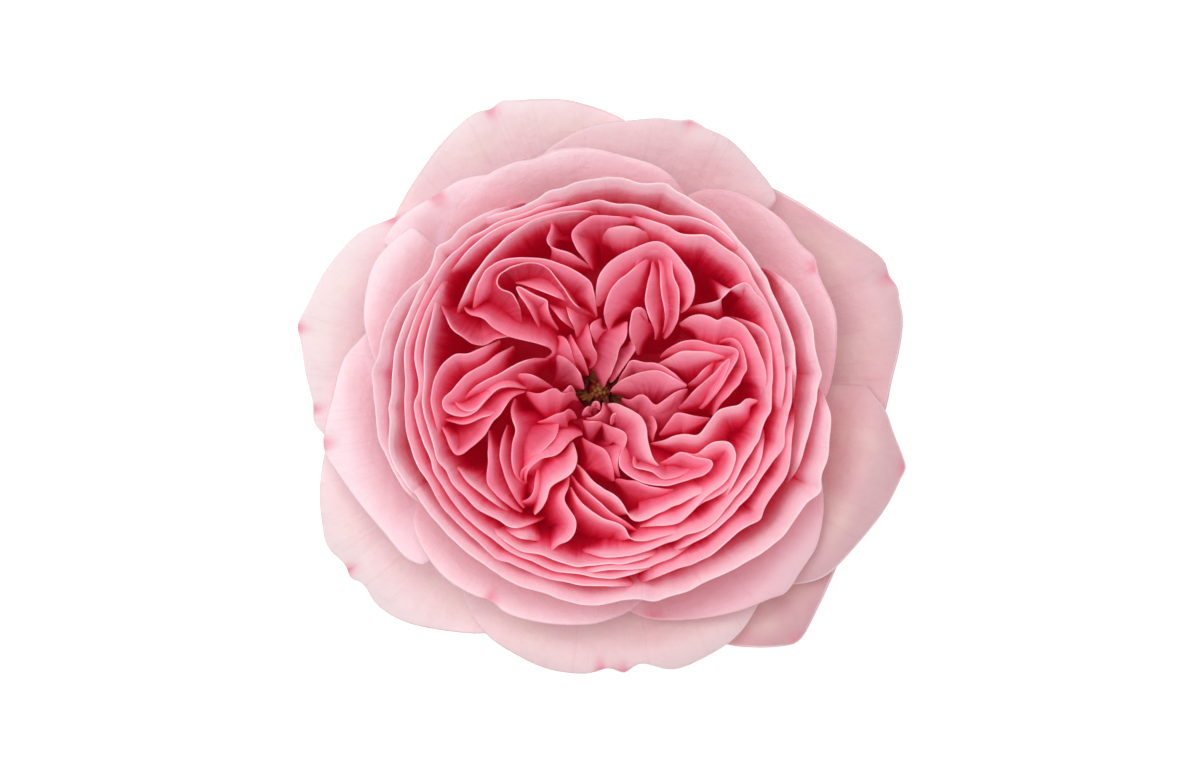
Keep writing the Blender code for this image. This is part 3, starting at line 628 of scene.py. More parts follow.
cupRings = {
    "w3": (0, [0.6, 0.8, 0.8, 1, 1, 1.2, 1.5, 1.5, 1.2, 1.4, 1.6, 1.6, 1.3, 1.2, 1.2, 1.4, 1.2, 1, 1.2, 1,
        1], [(-2, 33.8), (-5, 33.2), (-8, 32.7), (-10, 32.1), (-12, 31.3), (-14.3, 30.4), (-16.5, 29.7),
        (-18.7, 28.8), (-20.5, 27.6), (-22.5, 26.7), (-24, 25.3), (-25.5, 24), (-26.8, 22.7), (-28, 21),
        (-29.4, 18.5), (-31, 15.5), (-32.3, 12.5), (-33.2, 10), (-33.9, 7.5), (-34, 5), (-33.9, 3),
        (-33.9, 0), (-34, -3), (-33.8, -6), (-33.4, -8.5), (-32.6, -11), (-31.6, -13.5), (-30.4, -15.2),
        (-29.4, -16.8), (-28.6, -18.5), (-27.6, -20.2), (-25.8, -22.2), (-24, -24), (-22, -25.8),
        (-20, -27.6), (-18.2, -29.4), (-16, -30), (-13.5, -31.1), (-11, -32.2), (-9, -32.9), (-6, -33.4),
        (-3.5, -34), (0, -34.1), (4, -34.2), (7, -33.9), (9.5, -33)]),
    "n2": (0, [0.6, 0.8, 1.2, 1.5, 1.4, 1, 0.8, 0.8, 1.2, 1.2, 1.2, 1.2, 1], [(-28, 17.5), (-26.4, 20.3),
        (-24.6, 22.4), (-22.8, 24.6), (-21, 26.1), (-19.5, 27.3), (-18, 28.2), (-16, 29), (-14, 29.6),
        (-12, 30.2), (-10, 30.9), (-8, 31.4), (-6, 31.9), (-4, 32.3), (-2, 32.8), (-0.4, 33.2), (1, 32.8),
        (3, 32.4), (6, 32.4), (8, 32), (10, 31.2), (11.8, 30.5), (14.5, 30.4), (16.5, 30), (18.5, 29.3),
        (20.5, 28.3), (22.6, 26.6), (24.6, 24.6), (26.4, 22.4), (27.6, 20.4)]),
    "n3": (0, [0.5, 0.7, 0.8, 0.9, 0.9, 0.9, 0.8, 0.4, 0.4, 0.4], [(-24.6, 10.4), (-25, 12), (-25, 13.6),
        (-24.6, 15), (-23.6, 17), (-22.6, 19), (-21.5, 20.8), (-20, 22.8), (-18, 24.9), (-16, 26.8),
        (-14, 28.3), (-12, 29.4), (-10, 30.2), (-8, 30.8), (-6, 31.1), (-3, 31.3), (-1, 31.1), (1, 30.8),
        (3, 31)]),
    "n4": (0.1, [0.8, 1.6, 2.2, 2.6, 3, 3.4, 3, 2.4, 1.4, 1.2, 0.8], [(2, 31.3), (4.5, 31), (6, 30.4),
        (8, 29.9), (10, 29.2), (12, 28.5), (13.3, 27.5), (14.5, 27.1), (16.5, 27), (18.3, 27.1),
        (20, 26.2), (21.5, 24.9), (22.6, 24.3), (24.4, 23), (25.8, 21.3), (26.6, 19.4), (27.6, 17.8),
        (28.6, 16.2), (29.8, 14), (31, 11.5), (31.9, 9)]),
    "r0": (0.2, [0.4, 1, 1.4, 1.4, 1.4, 2, 2.8, 2.2, 1.7, 1.6, 1.4, 1], [(13.5, 13), (16, 14.6),
        (19.8, 15.4), (21.7, 16.3), (23, 17.8), (24.2, 18.5), (25.6, 18.9), (26.5, 18), (27.2, 16.8),
        (28.5, 15.7), (29.6, 14.3), (30.5, 11.9), (31.3, 9.6), (31.5, 8), (31.8, 6.5), (32.1, 5),
        (32.3, 3), (32.2, 1), (31.9, -2), (31.5, -5), (31.1, -8)]),
    "b1": (0, [0.8, 1.8, 2.4, 2, 2.4, 3, 2.2, 2.4, 2.4, 1.6], [(34, -1), (34, -3.7), (33.8, -6.5),
        (33.4, -9), (33.3, -11), (33, -13.5), (32.2, -15.5), (31, -17), (29.8, -18.6), (28.9, -20),
        (28.3, -21.5), (28, -22.8), (26.6, -23.2), (25, -24), (23.8, -25), (22.5, -26.2), (20.5, -27.9),
        (19, -29), (16.5, -30.2), (14, -30.9), (12, -31.8), (9.8, -32.6), (7.5, -33.6), (4, -34.4)]),
    "c1": (0, [0.8, 1.2, 1.2, 1.4, 1.2, 1, 1, 1.2, 1, 1, 0.9, 0.9, 1, 1.2], [(-24, 21.6), (-26.5, 20),
        (-27.8, 18.3), (-29, 16.3), (-29.9, 14.5), (-30.8, 12.5), (-31.4, 10.5), (-32, 8.5), (-32.3, 6.5),
        (-32.2, 4.5), (-31.8, 3), (-31.5, 1), (-31.6, -0.6), (-32.3, -1.8), (-32.4, -3), (-32.1, -4.5),
        (-31.7, -6.3), (-31.1, -8.3), (-30.2, -10.4), (-29.3, -12.3), (-29, -14), (-28.4, -15.2),
        (-27.4, -16.8), (-26, -18.8), (-24.8, -20.5), (-23.2, -22.4), (-21, -24.2), (-18, -26.4),
        (-16, -28), (-14, -29), (-12, -29.7), (-10, -30.7), (-7.5, -31.7), (-4, -32), (-1, -32.6),
        (2, -32.9), (4.5, -32.4), (7, -31.6), (10, -30.7), (13, -29.4)]),
    "c2": (0, [0.3, 0.8, 1.2, 1.4, 2.2, 1.7, 1.4, 1.6, 1, 0.8, 0.8], [(33.7, 9.5), (33.7, 7), (33.6, 4.5),
        (33.5, 2), (33.5, 0), (33.4, -2), (32.9, -4), (32.4, -6), (32.2, -8), (32.3, -9.3), (31.9, -10.3),
        (31, -11.2), (29.8, -12.8), (28.3, -15), (26.9, -17.2), (25.6, -19), (24.2, -20.2), (23.4, -21.5),
        (22, -22.6), (20, -24.4), (18, -25.7), (16, -26.8), (14, -27.7), (12, -28.6), (9, -29.8)]),
    "c3": (0, [0.5, 0.6, 0.6, 0.8, 0.6, 0.5, 0.9, 1, 1.2, 1, 0.7, 0.6], [(-25.4, 20), (-27, 18),
        (-28.3, 16.3), (-28.9, 14.5), (-29.3, 12.5), (-30.2, 9), (-30.7, 6), (-30.6, 2), (-31, -1.6),
        (-30.9, -3), (-30.7, -4.2), (-30.3, -5.5), (-29.9, -6.6), (-29.4, -8), (-29, -9.5),
        (-28.8, -10.5), (-28.6, -11.6), (-28.1, -12.5), (-27.3, -13.5), (-26.6, -14.3), (-26.3, -15.3),
        (-25.6, -16.4), (-24.5, -17.6), (-23.3, -18.8), (-22.2, -20), (-21, -21), (-20, -21.6),
        (-18.5, -22.2), (-17.3, -22.8), (-16.6, -23.4), (-15.5, -23.9), (-14, -24), (-12.7, -23.7),
        (-11, -23), (-9.5, -22.5), (-8, -21.5)]),
    "c4": (0.2, [0.5, 0.8, 0.9, 0.9, 1.2, 0.9, 0.6], [(-8, -31.4), (-4, -31.8), (-1, -31.7), (2, -31.3),
        (5, -31.2), (8, -31), (10, -30.2), (13, -29), (15, -27.8), (16.8, -26.6), (18.5, -25.6)]),
    "c5": (0, [0.8, 0.8, 0.6, 0.8, 1.9, 0.8, 1, 1.4, 1.4, 1.2, 0.8], [(21, 13.4), (23.5, 12.8), (26, 12),
        (27.7, 11.1), (29, 10), (29.6, 8), (30, 6), (30.1, 4), (30.1, 2), (30, 0), (29.9, -2), (30, -3.6),
        (29.4, -4.2), (28.7, -5.5), (28.1, -7), (28, -8), (27.7, -9), (26.8, -10), (26, -11.5), (25, -13),
        (24, -15), (23, -17), (21.8, -19), (20.2, -20.8), (18.5, -22)]),
    "c6": (0, [1, 1.2, 0.9, 0.9, 1.4, 2, 2.6, 2.2, 1.4, 1.2, 1.4, 1.2, 0.8], [(28.8, -4), (28.6, -6.2),
        (28.6, -8.5), (28.4, -10.5), (28.2, -11.8), (27.4, -13.8), (26.8, -14.8), (25.6, -16),
        (24.8, -17.2), (23.6, -18.6), (22.5, -20), (21, -21.8), (20, -23), (18, -24.4), (15, -25.2),
        (13.6, -26), (11.6, -26.6), (10, -27.4), (8, -28.1), (6, -28.7), (4, -29), (2, -29.2), (0, -29),
        (-3, -28.4), (-6, -28.3)]),
    "d1": (0, [0.5, 0.7, 0.8, 0.7, 0.6], [(-27.5, -11), (-26, -13), (-24.6, -14), (-23.4, -15.7),
        (-22, -17), (-20.3, -18.1), (-19.2, -19.1), (-17.6, -20.3), (-16, -21.2), (-14.5, -21.9),
        (-12.6, -22.2)]),
    "d3": (-0.3, [0.8, 1.6, 1.6, 1], [(-18, -22.8), (-17.2, -23.6), (-16, -24.8), (-14.5, -25.6),
        (-12.5, -26.1), (-10.5, -26.5), (-8.5, -26.8)]),
    "d4": (0, [0.8, 0.9, 1, 0.9, 0.8, 1, 0.9, 0.8], [(-22.5, -21.8), (-21.2, -22.8), (-20, -23.6),
        (-18.5, -24.8), (-17, -26), (-15.5, -27), (-14, -28), (-12, -28.4), (-10, -28.8), (-8, -29.6),
        (-6, -30.3), (-4, -30.8), (-2, -30.6), (0, -30.4), (2, -30.2), (3.5, -30.4), (6, -29.8),
        (8, -29.3), (10, -28.6), (12, -28), (14, -27)]),
    "te": (-0.8, [3, 5, 5, 3], [(-2.4, 24.6), (-1.5, 26.5), (0, 27.7), (1.5, 28.2), (3, 28.5), (5, 28.6),
        (6.5, 28.3), (8, 27.6), (9.3, 27.1), (10.7, 26), (12.1, 24.9)]),
}
tongues = {
    "ta": (0, [0.5, 0.7, 0.7, -0.8, -1.6, -1.6, -0.6], [(-8.9, 30.3), (-8.5, 29), (-8.6, 28),
        (-9.1, 26.8), (-9.3, 26), (-8.9, 25.2), (-8, 24.8), (-6.5, 24.3), (-5, 23.8), (-3.8, 23),
        (-2.5, 22.2), (-1.6, 21.4)]),
    "tb": (0, [0.8, 1.6, 2.4, 2.6, 1.4, 1.1, 1.2, 0.9], [(7, 29.4), (4.5, 30.1), (2, 30.3), (0, 30.4),
        (-1.4, 30.4), (-3, 29.5), (-4.2, 28.5), (-5, 27.2), (-4.8, 26.2), (-4.2, 24.9), (-3.2, 23.5),
        (-2.2, 22.2), (-1.4, 20.9)]),
}
quarterTop = {
    "A1": (0.8, [-2.5, -4, -3.6, -1.8, -1.5, -1.5, -1.2, -1], [(-0.6, 14.6), (-0.7, 16.5), (-0.5, 18.8),
        (0.2, 20.4), (2.6, 23), (6.3, 24.9), (9.2, 25.9), (11.9, 25.1), (14.2, 22.5), (15.9, 20.2),
        (16.5, 17.8), (16.1, 15.1), (14.2, 13.4)]),
    "A2": (-0.3, [-0.8, -1.2, -1.4, -1, -1.2, -1.8, -1.5], [(4.6, 19.6), (6.1, 21.6), (6.8, 23.9),
        (9.6, 24.6), (11.9, 23.9), (12.6, 22.1), (12.8, 19.7), (13.8, 17.4), (13.9, 15.1), (13.8, 12.7),
        (12.8, 10.4), (11.4, 8.8)]),
    "A3": (0.5, [-0.8, -2.6, -4, -3.6, -2, -0.8], [(1.8, 9.9), (0.6, 13.2), (1.6, 16.9), (3, 18.8),
        (4.7, 20.2), (6.5, 21.8), (8.2, 23), (9.1, 23.7)]),
    "A4": (0.2, [-0.6, -1.2, -2.3, -2.4, -1.4, -0.6], [(9.5, 8.8), (9.6, 10.4), (8.6, 12.7), (7.9, 15.5),
        (8.1, 17.4), (8.8, 20.7), (9.3, 23.2)]),
    "A5": (-0.2, [0.6, 0.9, 0.9, 0.9, 0.6], [(9.5, 24.2), (10.3, 22.5), (10.5, 20.2), (10.6, 16.9),
        (11.1, 14.6), (11.4, 12.3), (11, 10)]),
    "A6": (0.6, [-1.2, -3, -3.2, -2, -1], [(6.7, 6), (5.2, 9.5), (5.5, 12.7), (5.8, 14.1), (6.8, 14.6),
        (7.9, 14.1), (8.6, 11.5)]),
    "A7": (1, [-0.8, -2.2, -2.2, -0.8], [(-0.75, 8.2), (-1.75, 10.9), (-1.2, 12), (0.2, 12.7)]),
}
quarterRight = {
    "B1": (0.5, [-2, -4.2, -4.2, -3.5, -2.5, -2, -2, -1.2], [(13.8, 11.6), (15.2, 12.5), (16.6, 13.1),
        (18, 13.1), (19.4, 12.7), (20.8, 11.9), (21.2, 12.6), (22.4, 12.7), (25.2, 11.1), (26.8, 8.8),
        (28.6, 4.5), (29, 1.6), (28.8, -0.2), (28.2, -1.5)]),
    "B2": (-0.2, [-0.6, -0.8, -0.8, -1, -1.3, -1], [(20, 8), (21.5, 8.9), (22.9, 9.2), (24, 8.6),
        (24.9, 7.4), (25.4, 5.6), (25.7, 3.4), (24.9, 2.5), (24.2, 0.9), (22.6, -0.8), (21.1, -2.4),
        (20, -4.6)]),
    "B3": (0.1, [-1, -1.8, -1.8, -1, -0.6, -0.5, -0.5], [(10.4, 5.8), (12.2, 7.4), (14.2, 8.4),
        (16, 8.75), (17.8, 8.6), (19.3, 8), (22.9, 7.5), (24.3, 6.5), (22.9, 3.4), (20.9, 0.3),
        (19.1, -2.2), (17.8, -3.5)]),
    "B4": (0.9, [-0.7, -2.6, -3, -2, -1.2, -0.5], [(9.9, 4.5), (13.8, 6.5), (15.5, 6.8), (17.8, 6.8),
        (19.3, 6.6), (21.3, 6), (22.6, 5.8)]),
    "B5": (0, [-1.5, -2.2, -2, -0.8, -0.6, -0.6, -0.6], [(13.4, -3.3), (14.7, -2.2), (15.8, -0.8),
        (17.1, 0.7), (18.6, 1.8), (20, 2.9), (21.5, 4.7), (22.9, 5.6), (21.5, 1.8), (19.5, -1.5),
        (17.5, -3.4)]),
    "B6": (0, [-1, -1.4, -1.2, -0.6], [(15.3, 0.9), (16.6, 2), (17.8, 3.4), (19.1, 4.5), (20.2, 5.2)]),
    "B7": (0.3, [-1.5, -3, -3.5, -2.5, -1.5], [(10.2, -7.8), (11.1, -6.8), (12.4, -5), (13.5, -3.9),
        (17.1, -4.6), (19.3, -4.8)]),
    "B8": (0.8, [-0.5, -1.2, -1.8, -1.9, -1.4, -1.6, -2, -1.6], [(8.9, -9.2), (11, -8.8), (13.5, -7.8),
        (15.3, -7.7), (17.1, -8), (18.2, -6.6), (19.5, -4.8), (20.6, -3.5), (21.8, -3), (23.3, -2.8),
        (24.4, -2.6), (25.3, -1.4), (26.6, -1.5), (27.7, -1.7)]),
}
quarterLowerRight = {
    "C1": (-0.2, [0.5, 0.7, 0.7, 0.8, 0.9, 0.8, 0.6, 0.5], [(6.3, -9.8), (6.1, -10.8), (5.8, -11.7),
        (5.7, -12.6), (5.9, -13.5), (6.6, -13.8), (8, -14), (9.3, -14.3), (10, -14.9), (10.7, -15.5),
        (11.4, -15.7), (12.2, -15.4), (13.4, -15.2), (14.7, -14.7), (15.8, -14), (17.2, -13.2)]),
    "C2": (0, [1.4, 1.8, 1.8, 1.4, 1.1, 1, 1, 0.9, 0.9, 0.8, 1, 2.2, 2.8, 2.6, 1.6, 0.8], [(4.9, -8.2),
        (4.3, -9.5), (3.6, -10.7), (3.3, -12), (3.4, -13.3), (4, -14.2), (4.9, -15), (6, -15.6), (7, -16),
        (8.3, -16.5), (10, -16.75), (11.7, -16.75), (13, -16.4), (14.2, -16.1), (15.8, -15.6),
        (17.5, -15.1), (18.4, -14.7), (19.3, -13.9), (19.8, -12.9), (19.6, -12.3), (18.3, -11.9),
        (16.7, -11.6), (15, -11), (14, -10.8), (13, -11.3), (12, -12), (10.8, -12.6), (10, -12.9)]),
    "C3": (0.3, [-0.8, -1.4, -1.9, -1.9, -1.2, -0.7, -0.8, -1.1, -1.1, -1, -1.2, -2, -2, -1.4, -0.6],
        [(14.8, -10.9), (16.9, -11.2), (18.3, -10), (19.7, -9.1), (21.4, -8.8), (22.75, -9.2),
        (23.6, -10.5), (23.6, -12.6), (22.75, -14.7), (21.6, -16.3), (18.3, -18.7), (16.9, -20.3),
        (15, -22.2), (13.4, -23.3), (8.75, -23.8), (7, -24)]),
    "C4": (0, [-0.8, -1.2, -1.5, -1.5, -1.4, -1.5, -1.4, -1, -0.4, 0.2, 0.8, 1.2, 1.2, 1, 0.8, 0.6],
        [(19.8, -15.8), (18.8, -17.2), (17.8, -18.1), (16.8, -18.3), (16, -18.8), (15, -19.3),
        (14, -19.8), (13, -20.1), (12, -20.7), (11, -21.2), (10, -21.5), (9.3, -22), (8.5, -22.5),
        (7.5, -22.8), (6.7, -22.9), (6, -22.8), (5.3, -22.2), (4.8, -21.2), (4, -19.8), (3.3, -18.8),
        (2.5, -18.2), (1.7, -17.7), (0.8, -17.3), (-0.2, -16.6), (-1.1, -16.1), (-2.5, -14.4),
        (-3.9, -12.9)]),
    "C5": (-0.2, [0.5, 0.7, 0.8, 0.7, 0.5], [(6.8, -24.6), (5.6, -23.8), (4.5, -23), (3.3, -22.2),
        (2, -21.3), (1, -20.5), (0, -19.6), (-1.8, -18), (-3.5, -16.5), (-5, -14.8)]),
    "C6": (-0.2, [-1.2, -1.4, -1.2, -0.4, 0.3, 0.8, 0.9, 0.8, 0.7], [(16, -24), (14.1, -24.7),
        (12.5, -25.1), (10.4, -25.6), (8.5, -26.2), (7, -26.4), (5.7, -26.2), (4.9, -25.2), (4.7, -24.4),
        (4.2, -23.8), (3.2, -23.2), (2, -22.8), (1, -22.5), (0, -22), (-1.6, -20.9), (-3.5, -19.4),
        (-5, -16.9)]),
    "C7": (-0.4, [0.4, 0.8, 1.4, 2.2, 2.8, 2.8, 2], [(14, -17.3), (11.7, -17.2), (10, -17.1),
        (8.3, -16.7), (7.3, -16.3), (6.3, -15.8), (4.8, -15.7), (3.6, -15.4), (2.6, -15.6)]),
    "C8": (-0.1, [2, 3.4, 4, 4, 3, 1], [(2.7, -16), (2.4, -14.5), (2.1, -12.8), (1.6, -11.4), (1, -10.5),
        (-0.35, -9.7), (-1.6, -9.3), (-3.1, -8.3)]),
    "C9": (-0.1, [-1, -1.4, -1.3, -1.1, -0.8], [(4.5, -8.8), (4, -9.9), (3.45, -10.9), (3.15, -12.2),
        (3.2, -13.6), (3.6, -15.3)]),
    "C10": (-0.2, [-0.6, -1, -1.3, -1.5, -1.8, -1.2, -0.6], [(24.5, -13.7), (24, -14.7), (23.3, -15.8),
        (22.3, -17), (21.3, -18), (20, -18.7), (18.7, -19.25), (17.8, -19.6), (17.2, -20.2),
        (15.8, -21.2), (14.8, -22.3)]),
}
quarterLowerLeft = {
    "D1": (0, [0.6, 0.8, 1.4, 1.2, 0.8], [(-19.5, -7), (-19.5, -12.3), (-19.7, -16), (-18, -18.3),
        (-15.1, -20.7), (-13.6, -21.5)]),
    "D2": (0, [0.5, 0.6, 0.6, 0.9, 0.6], [(-16.3, -6), (-17.2, -9.1), (-17.5, -11.2), (-17.2, -12.7),
        (-15.9, -16.7), (-14, -20), (-13.2, -20.7)]),
    "D3": (0, [0.4, 0.7, 0.7, 0.6, 0.4], [(-15, -1.4), (-15.6, -4), (-14.7, -7), (-15.3, -9.1),
        (-15.5, -11.2), (-15.3, -13.3), (-14.6, -15.4), (-13, -16.6)]),
    "D4": (-0.3, [0.5, 0.5, 0.5], [(-7.9, -9.3), (-9.6, -10.6), (-10.9, -11.6), (-11.9, -12.7),
        (-13.4, -13.5), (-14, -14.4), (-13.9, -16.5)]),
    "D5": (0.5, [-2.6, -2.8, -1.8, -0.8, -0.6], [(-2.9, -8), (-4.1, -8.2), (-5.6, -9.3), (-6.4, -10.4),
        (-7.7, -11.4), (-9.8, -11.8), (-10.9, -12.5), (-11.9, -13.3), (-12.7, -14.6), (-12.8, -16.4)]),
    "D6": (0, [0.6, 0.9, 0.9, 0.6], [(-10.9, -13.3), (-11.3, -15.4), (-11.5, -17.3), (-12.3, -18.8),
        (-14.2, -19.5)]),
    "D7": (1.2, [-2, -3.8, -4, -3, -1.2, -1.3, -1.2], [(-4.8, -9.1), (-4.1, -10.6), (-3.9, -12.3),
        (-4.6, -14.1), (-6, -15.4), (-7.5, -16.2), (-8.75, -17.1), (-9.2, -19), (-10, -20.4),
        (-11.3, -21.9)]),
    "D8": (0.2, [-1.2, -1.2, -1.5, -1.2, -1], [(-5.2, -15.2), (-5.4, -17), (-6.3, -19), (-5.4, -20.6),
        (-4.2, -22.5), (-4.2, -24.5), (-5.3, -26.2), (-7.2, -26.9), (-8.2, -28), (-9, -28.7)]),
    "D9": (0.1, [-2.5, -4, -5, -4, -2], [(-7.3, -4.4), (-7.2, -6.5), (-7.7, -8.3), (-9.2, -9.9),
        (-11.5, -12), (-13.3, -13.6)]),
}
quarterLeft = {
    "E1": (0, [1.2, 1.6, 1.2, 0.9, 0.8, 0.8], [(-17.5, 8.8), (-20.4, 7.5), (-23, 6.3), (-25.2, 6.3),
        (-27.6, 4.3), (-28.6, 2.5), (-29.5, -1.2), (-29.2, -3.6), (-28.6, -6), (-28, -8.6)]),
    "E2": (0, [0.8, 1.2, 1.8, 1.6, 1, 0.7, 1, 1.2, 0.8], [(-15.1, 7.8), (-17.5, 6.5), (-20.2, 4.5),
        (-23.4, 2.7), (-25.9, -0.2), (-27.4, -1.6), (-26.8, -3.8), (-23.4, -4.7), (-21.2, -3.4),
        (-18.6, -0.6), (-16.9, 0.5), (-12.7, 0.2)]),
    "E3": (0, [0.6, 0.8, 1, 0.9, 0.5], [(-8.9, 5.5), (-11.9, 5.5), (-14.7, 4.5), (-17.9, 2.7), (-21, 1.1),
        (-22.8, -0.4), (-24, -1.8)]),
    "E4": (-0.4, [-0.6, -1.6, -1.6, -0.8], [(-15.7, 2.9), (-12.9, 2.9), (-11.3, 2.5), (-9.1, 1.1),
        (-8.1, 0.4)]),
    "E5": (-0.1, [0.5, 0.5, 0.5], [(-27.2, -5.1), (-25.8, -5.6), (-23.8, -6), (-22.2, -5.6),
        (-20.6, -4.8), (-18.6, -4.2), (-16, -2.2)]),
    "E6": (0.2, [0.5, 0.8, 1, 2.4, 2.8, 1.8, 0.8], [(-28.3, -6), (-27.4, -7), (-25.6, -10.8),
        (-24.5, -11.3), (-22.2, -9.9), (-19.7, -7.4), (-18.7, -5.6), (-17.5, -4.4), (-15.2, -1.2),
        (-13, -0.4)]),
    "E7": (0.1, [-2.5, -4.2, -4.2, -3.2, -1], [(-12.9, -0.2), (-10.7, -0.7), (-9.1, 0), (-7.7, 0.5),
        (-6.6, -0.8), (-5.5, -0.4), (-4.6, -0.2), (-4.2, -1.2), (-3.6, -1.8)]),
    "E8": (0.2, [-0.5, -0.8, -2.5, -3, -1.5], [(-11, -5.6), (-9.5, -5.2), (-7.6, -4.2), (-6.3, -4),
        (-5.6, -3.2), (-4.6, -3.8), (-3.9, -5)]),
    "E9": (-0.2, [0.5, 0.6, 0.6, 0.8, 0.6], [(-25.7, -0.8), (-25.2, -2.6), (-23, -3.8), (-21, -3),
        (-18.6, -0.2), (-16.3, 1.2)]),
}
quarterUpperLeft = {
    "F0": (-0.2, [0.4, 0.6, 1, 1.6, 2.2, 2.2, 1.4, 0.6], [(-28.2, 16), (-27.7, 14.5), (-27, 13),
        (-26, 11), (-25, 9.9), (-24, 9.2), (-22.4, 8.1), (-21.3, 7.8), (-20.3, 7.7), (-19, 8.3),
        (-18, 8.9), (-15, 9.3), (-12, 8.7)]),
    "F1": (0, [-1.8, -1.8, -1, -0.8, -1, -2, -1.6, -0.8], [(-22.2, 14.2), (-21.8, 16.7), (-20.5, 20),
        (-19.3, 21.5), (-16.3, 22.8), (-12.5, 23.1), (-8.7, 22.6), (-5, 21.2), (-1.8, 19.1), (-1, 17),
        (-0.4, 12.8)]),
    "F2": (0.3, [0.7, 0.8, 1.6, 2, 1.8, 1, 0.5], [(-23.8, 14.6), (-23.2, 13.4), (-21.8, 12.8),
        (-20.4, 12.6), (-18.8, 11), (-16, 9.4), (-12.3, 8.5), (-9.5, 7.8), (-8.5, 7.3), (-8.2, 6.5),
        (-9.7, 5.6)]),
    "F3": (-0.5, [1, 2, 1.6, 0.2, -0.6, -0.8, -0.9, -0.9, -0.7, -0.5], [(-13.1, 10.6), (-13.7, 12.4),
        (-13.9, 14.2), (-15.1, 16.8), (-16.9, 17.5), (-17.9, 18.4), (-17.6, 19.8), (-15.5, 21.5),
        (-11.9, 22.3), (-8.9, 21.2), (-6.4, 18), (-4, 14.8), (-1.2, 13.4), (-0.4, 12.7)]),
    "F4": (-0.2, [0.4, 1.2, 1.8, 2, 1], [(-14.9, 18.7), (-11.5, 17.7), (-7.9, 16.4), (-4, 14.7)]),
    "F5": (-0.2, [-0.5, -0.6, -0.6, -0.6, -0.6], [(-10.7, 10.8), (-12.3, 14), (-14.1, 16.8),
        (-14.5, 18.2), (-11.3, 16.6), (-9.1, 15.6), (-9.2, 14.8), (-8.7, 13.2), (-7.1, 10.6)]),
    "F6": (0, [1, 2.6, 3, 2], [(-6, 15.4), (-5.9, 14.2), (-5.4, 12.6), (-4.6, 11.2), (-4.2, 9.2)]),
    "F7": (0, [0.8, 0.8, 0.8], [(-8.9, 14.9), (-7.6, 13.2), (-6, 11.6), (-4.6, 10.5)]),
    "F8": (0.1, [-1.2, -2.2, -2.6, -1.6], [(-7.4, 9.6), (-6.2, 9.3), (-5.3, 7.8), (-4.9, 6.3),
        (-4.5, 4.9), (-4, 3.7)]),
    "F9": (0.3, [-0.8, -1.5, -1.7, -1.2, -0.6], [(-5, 9.9), (-4.2, 8), (-3.4, 6.6), (-2.9, 5.8),
        (-2.4, 4.8), (-2.3, 4), (-2, 3.2), (-1.9, 2.5)]),
    "F10": (0.1, [-1, -1.6, -2.2, -1.6, -0.6], [(-2.2, 12.3), (-1.6, 9.6), (-1.3, 7.6), (-0.5, 6.5),
        (-0.5, 5.2), (-1, 4.3), (-1.9, 3.7)]),
}
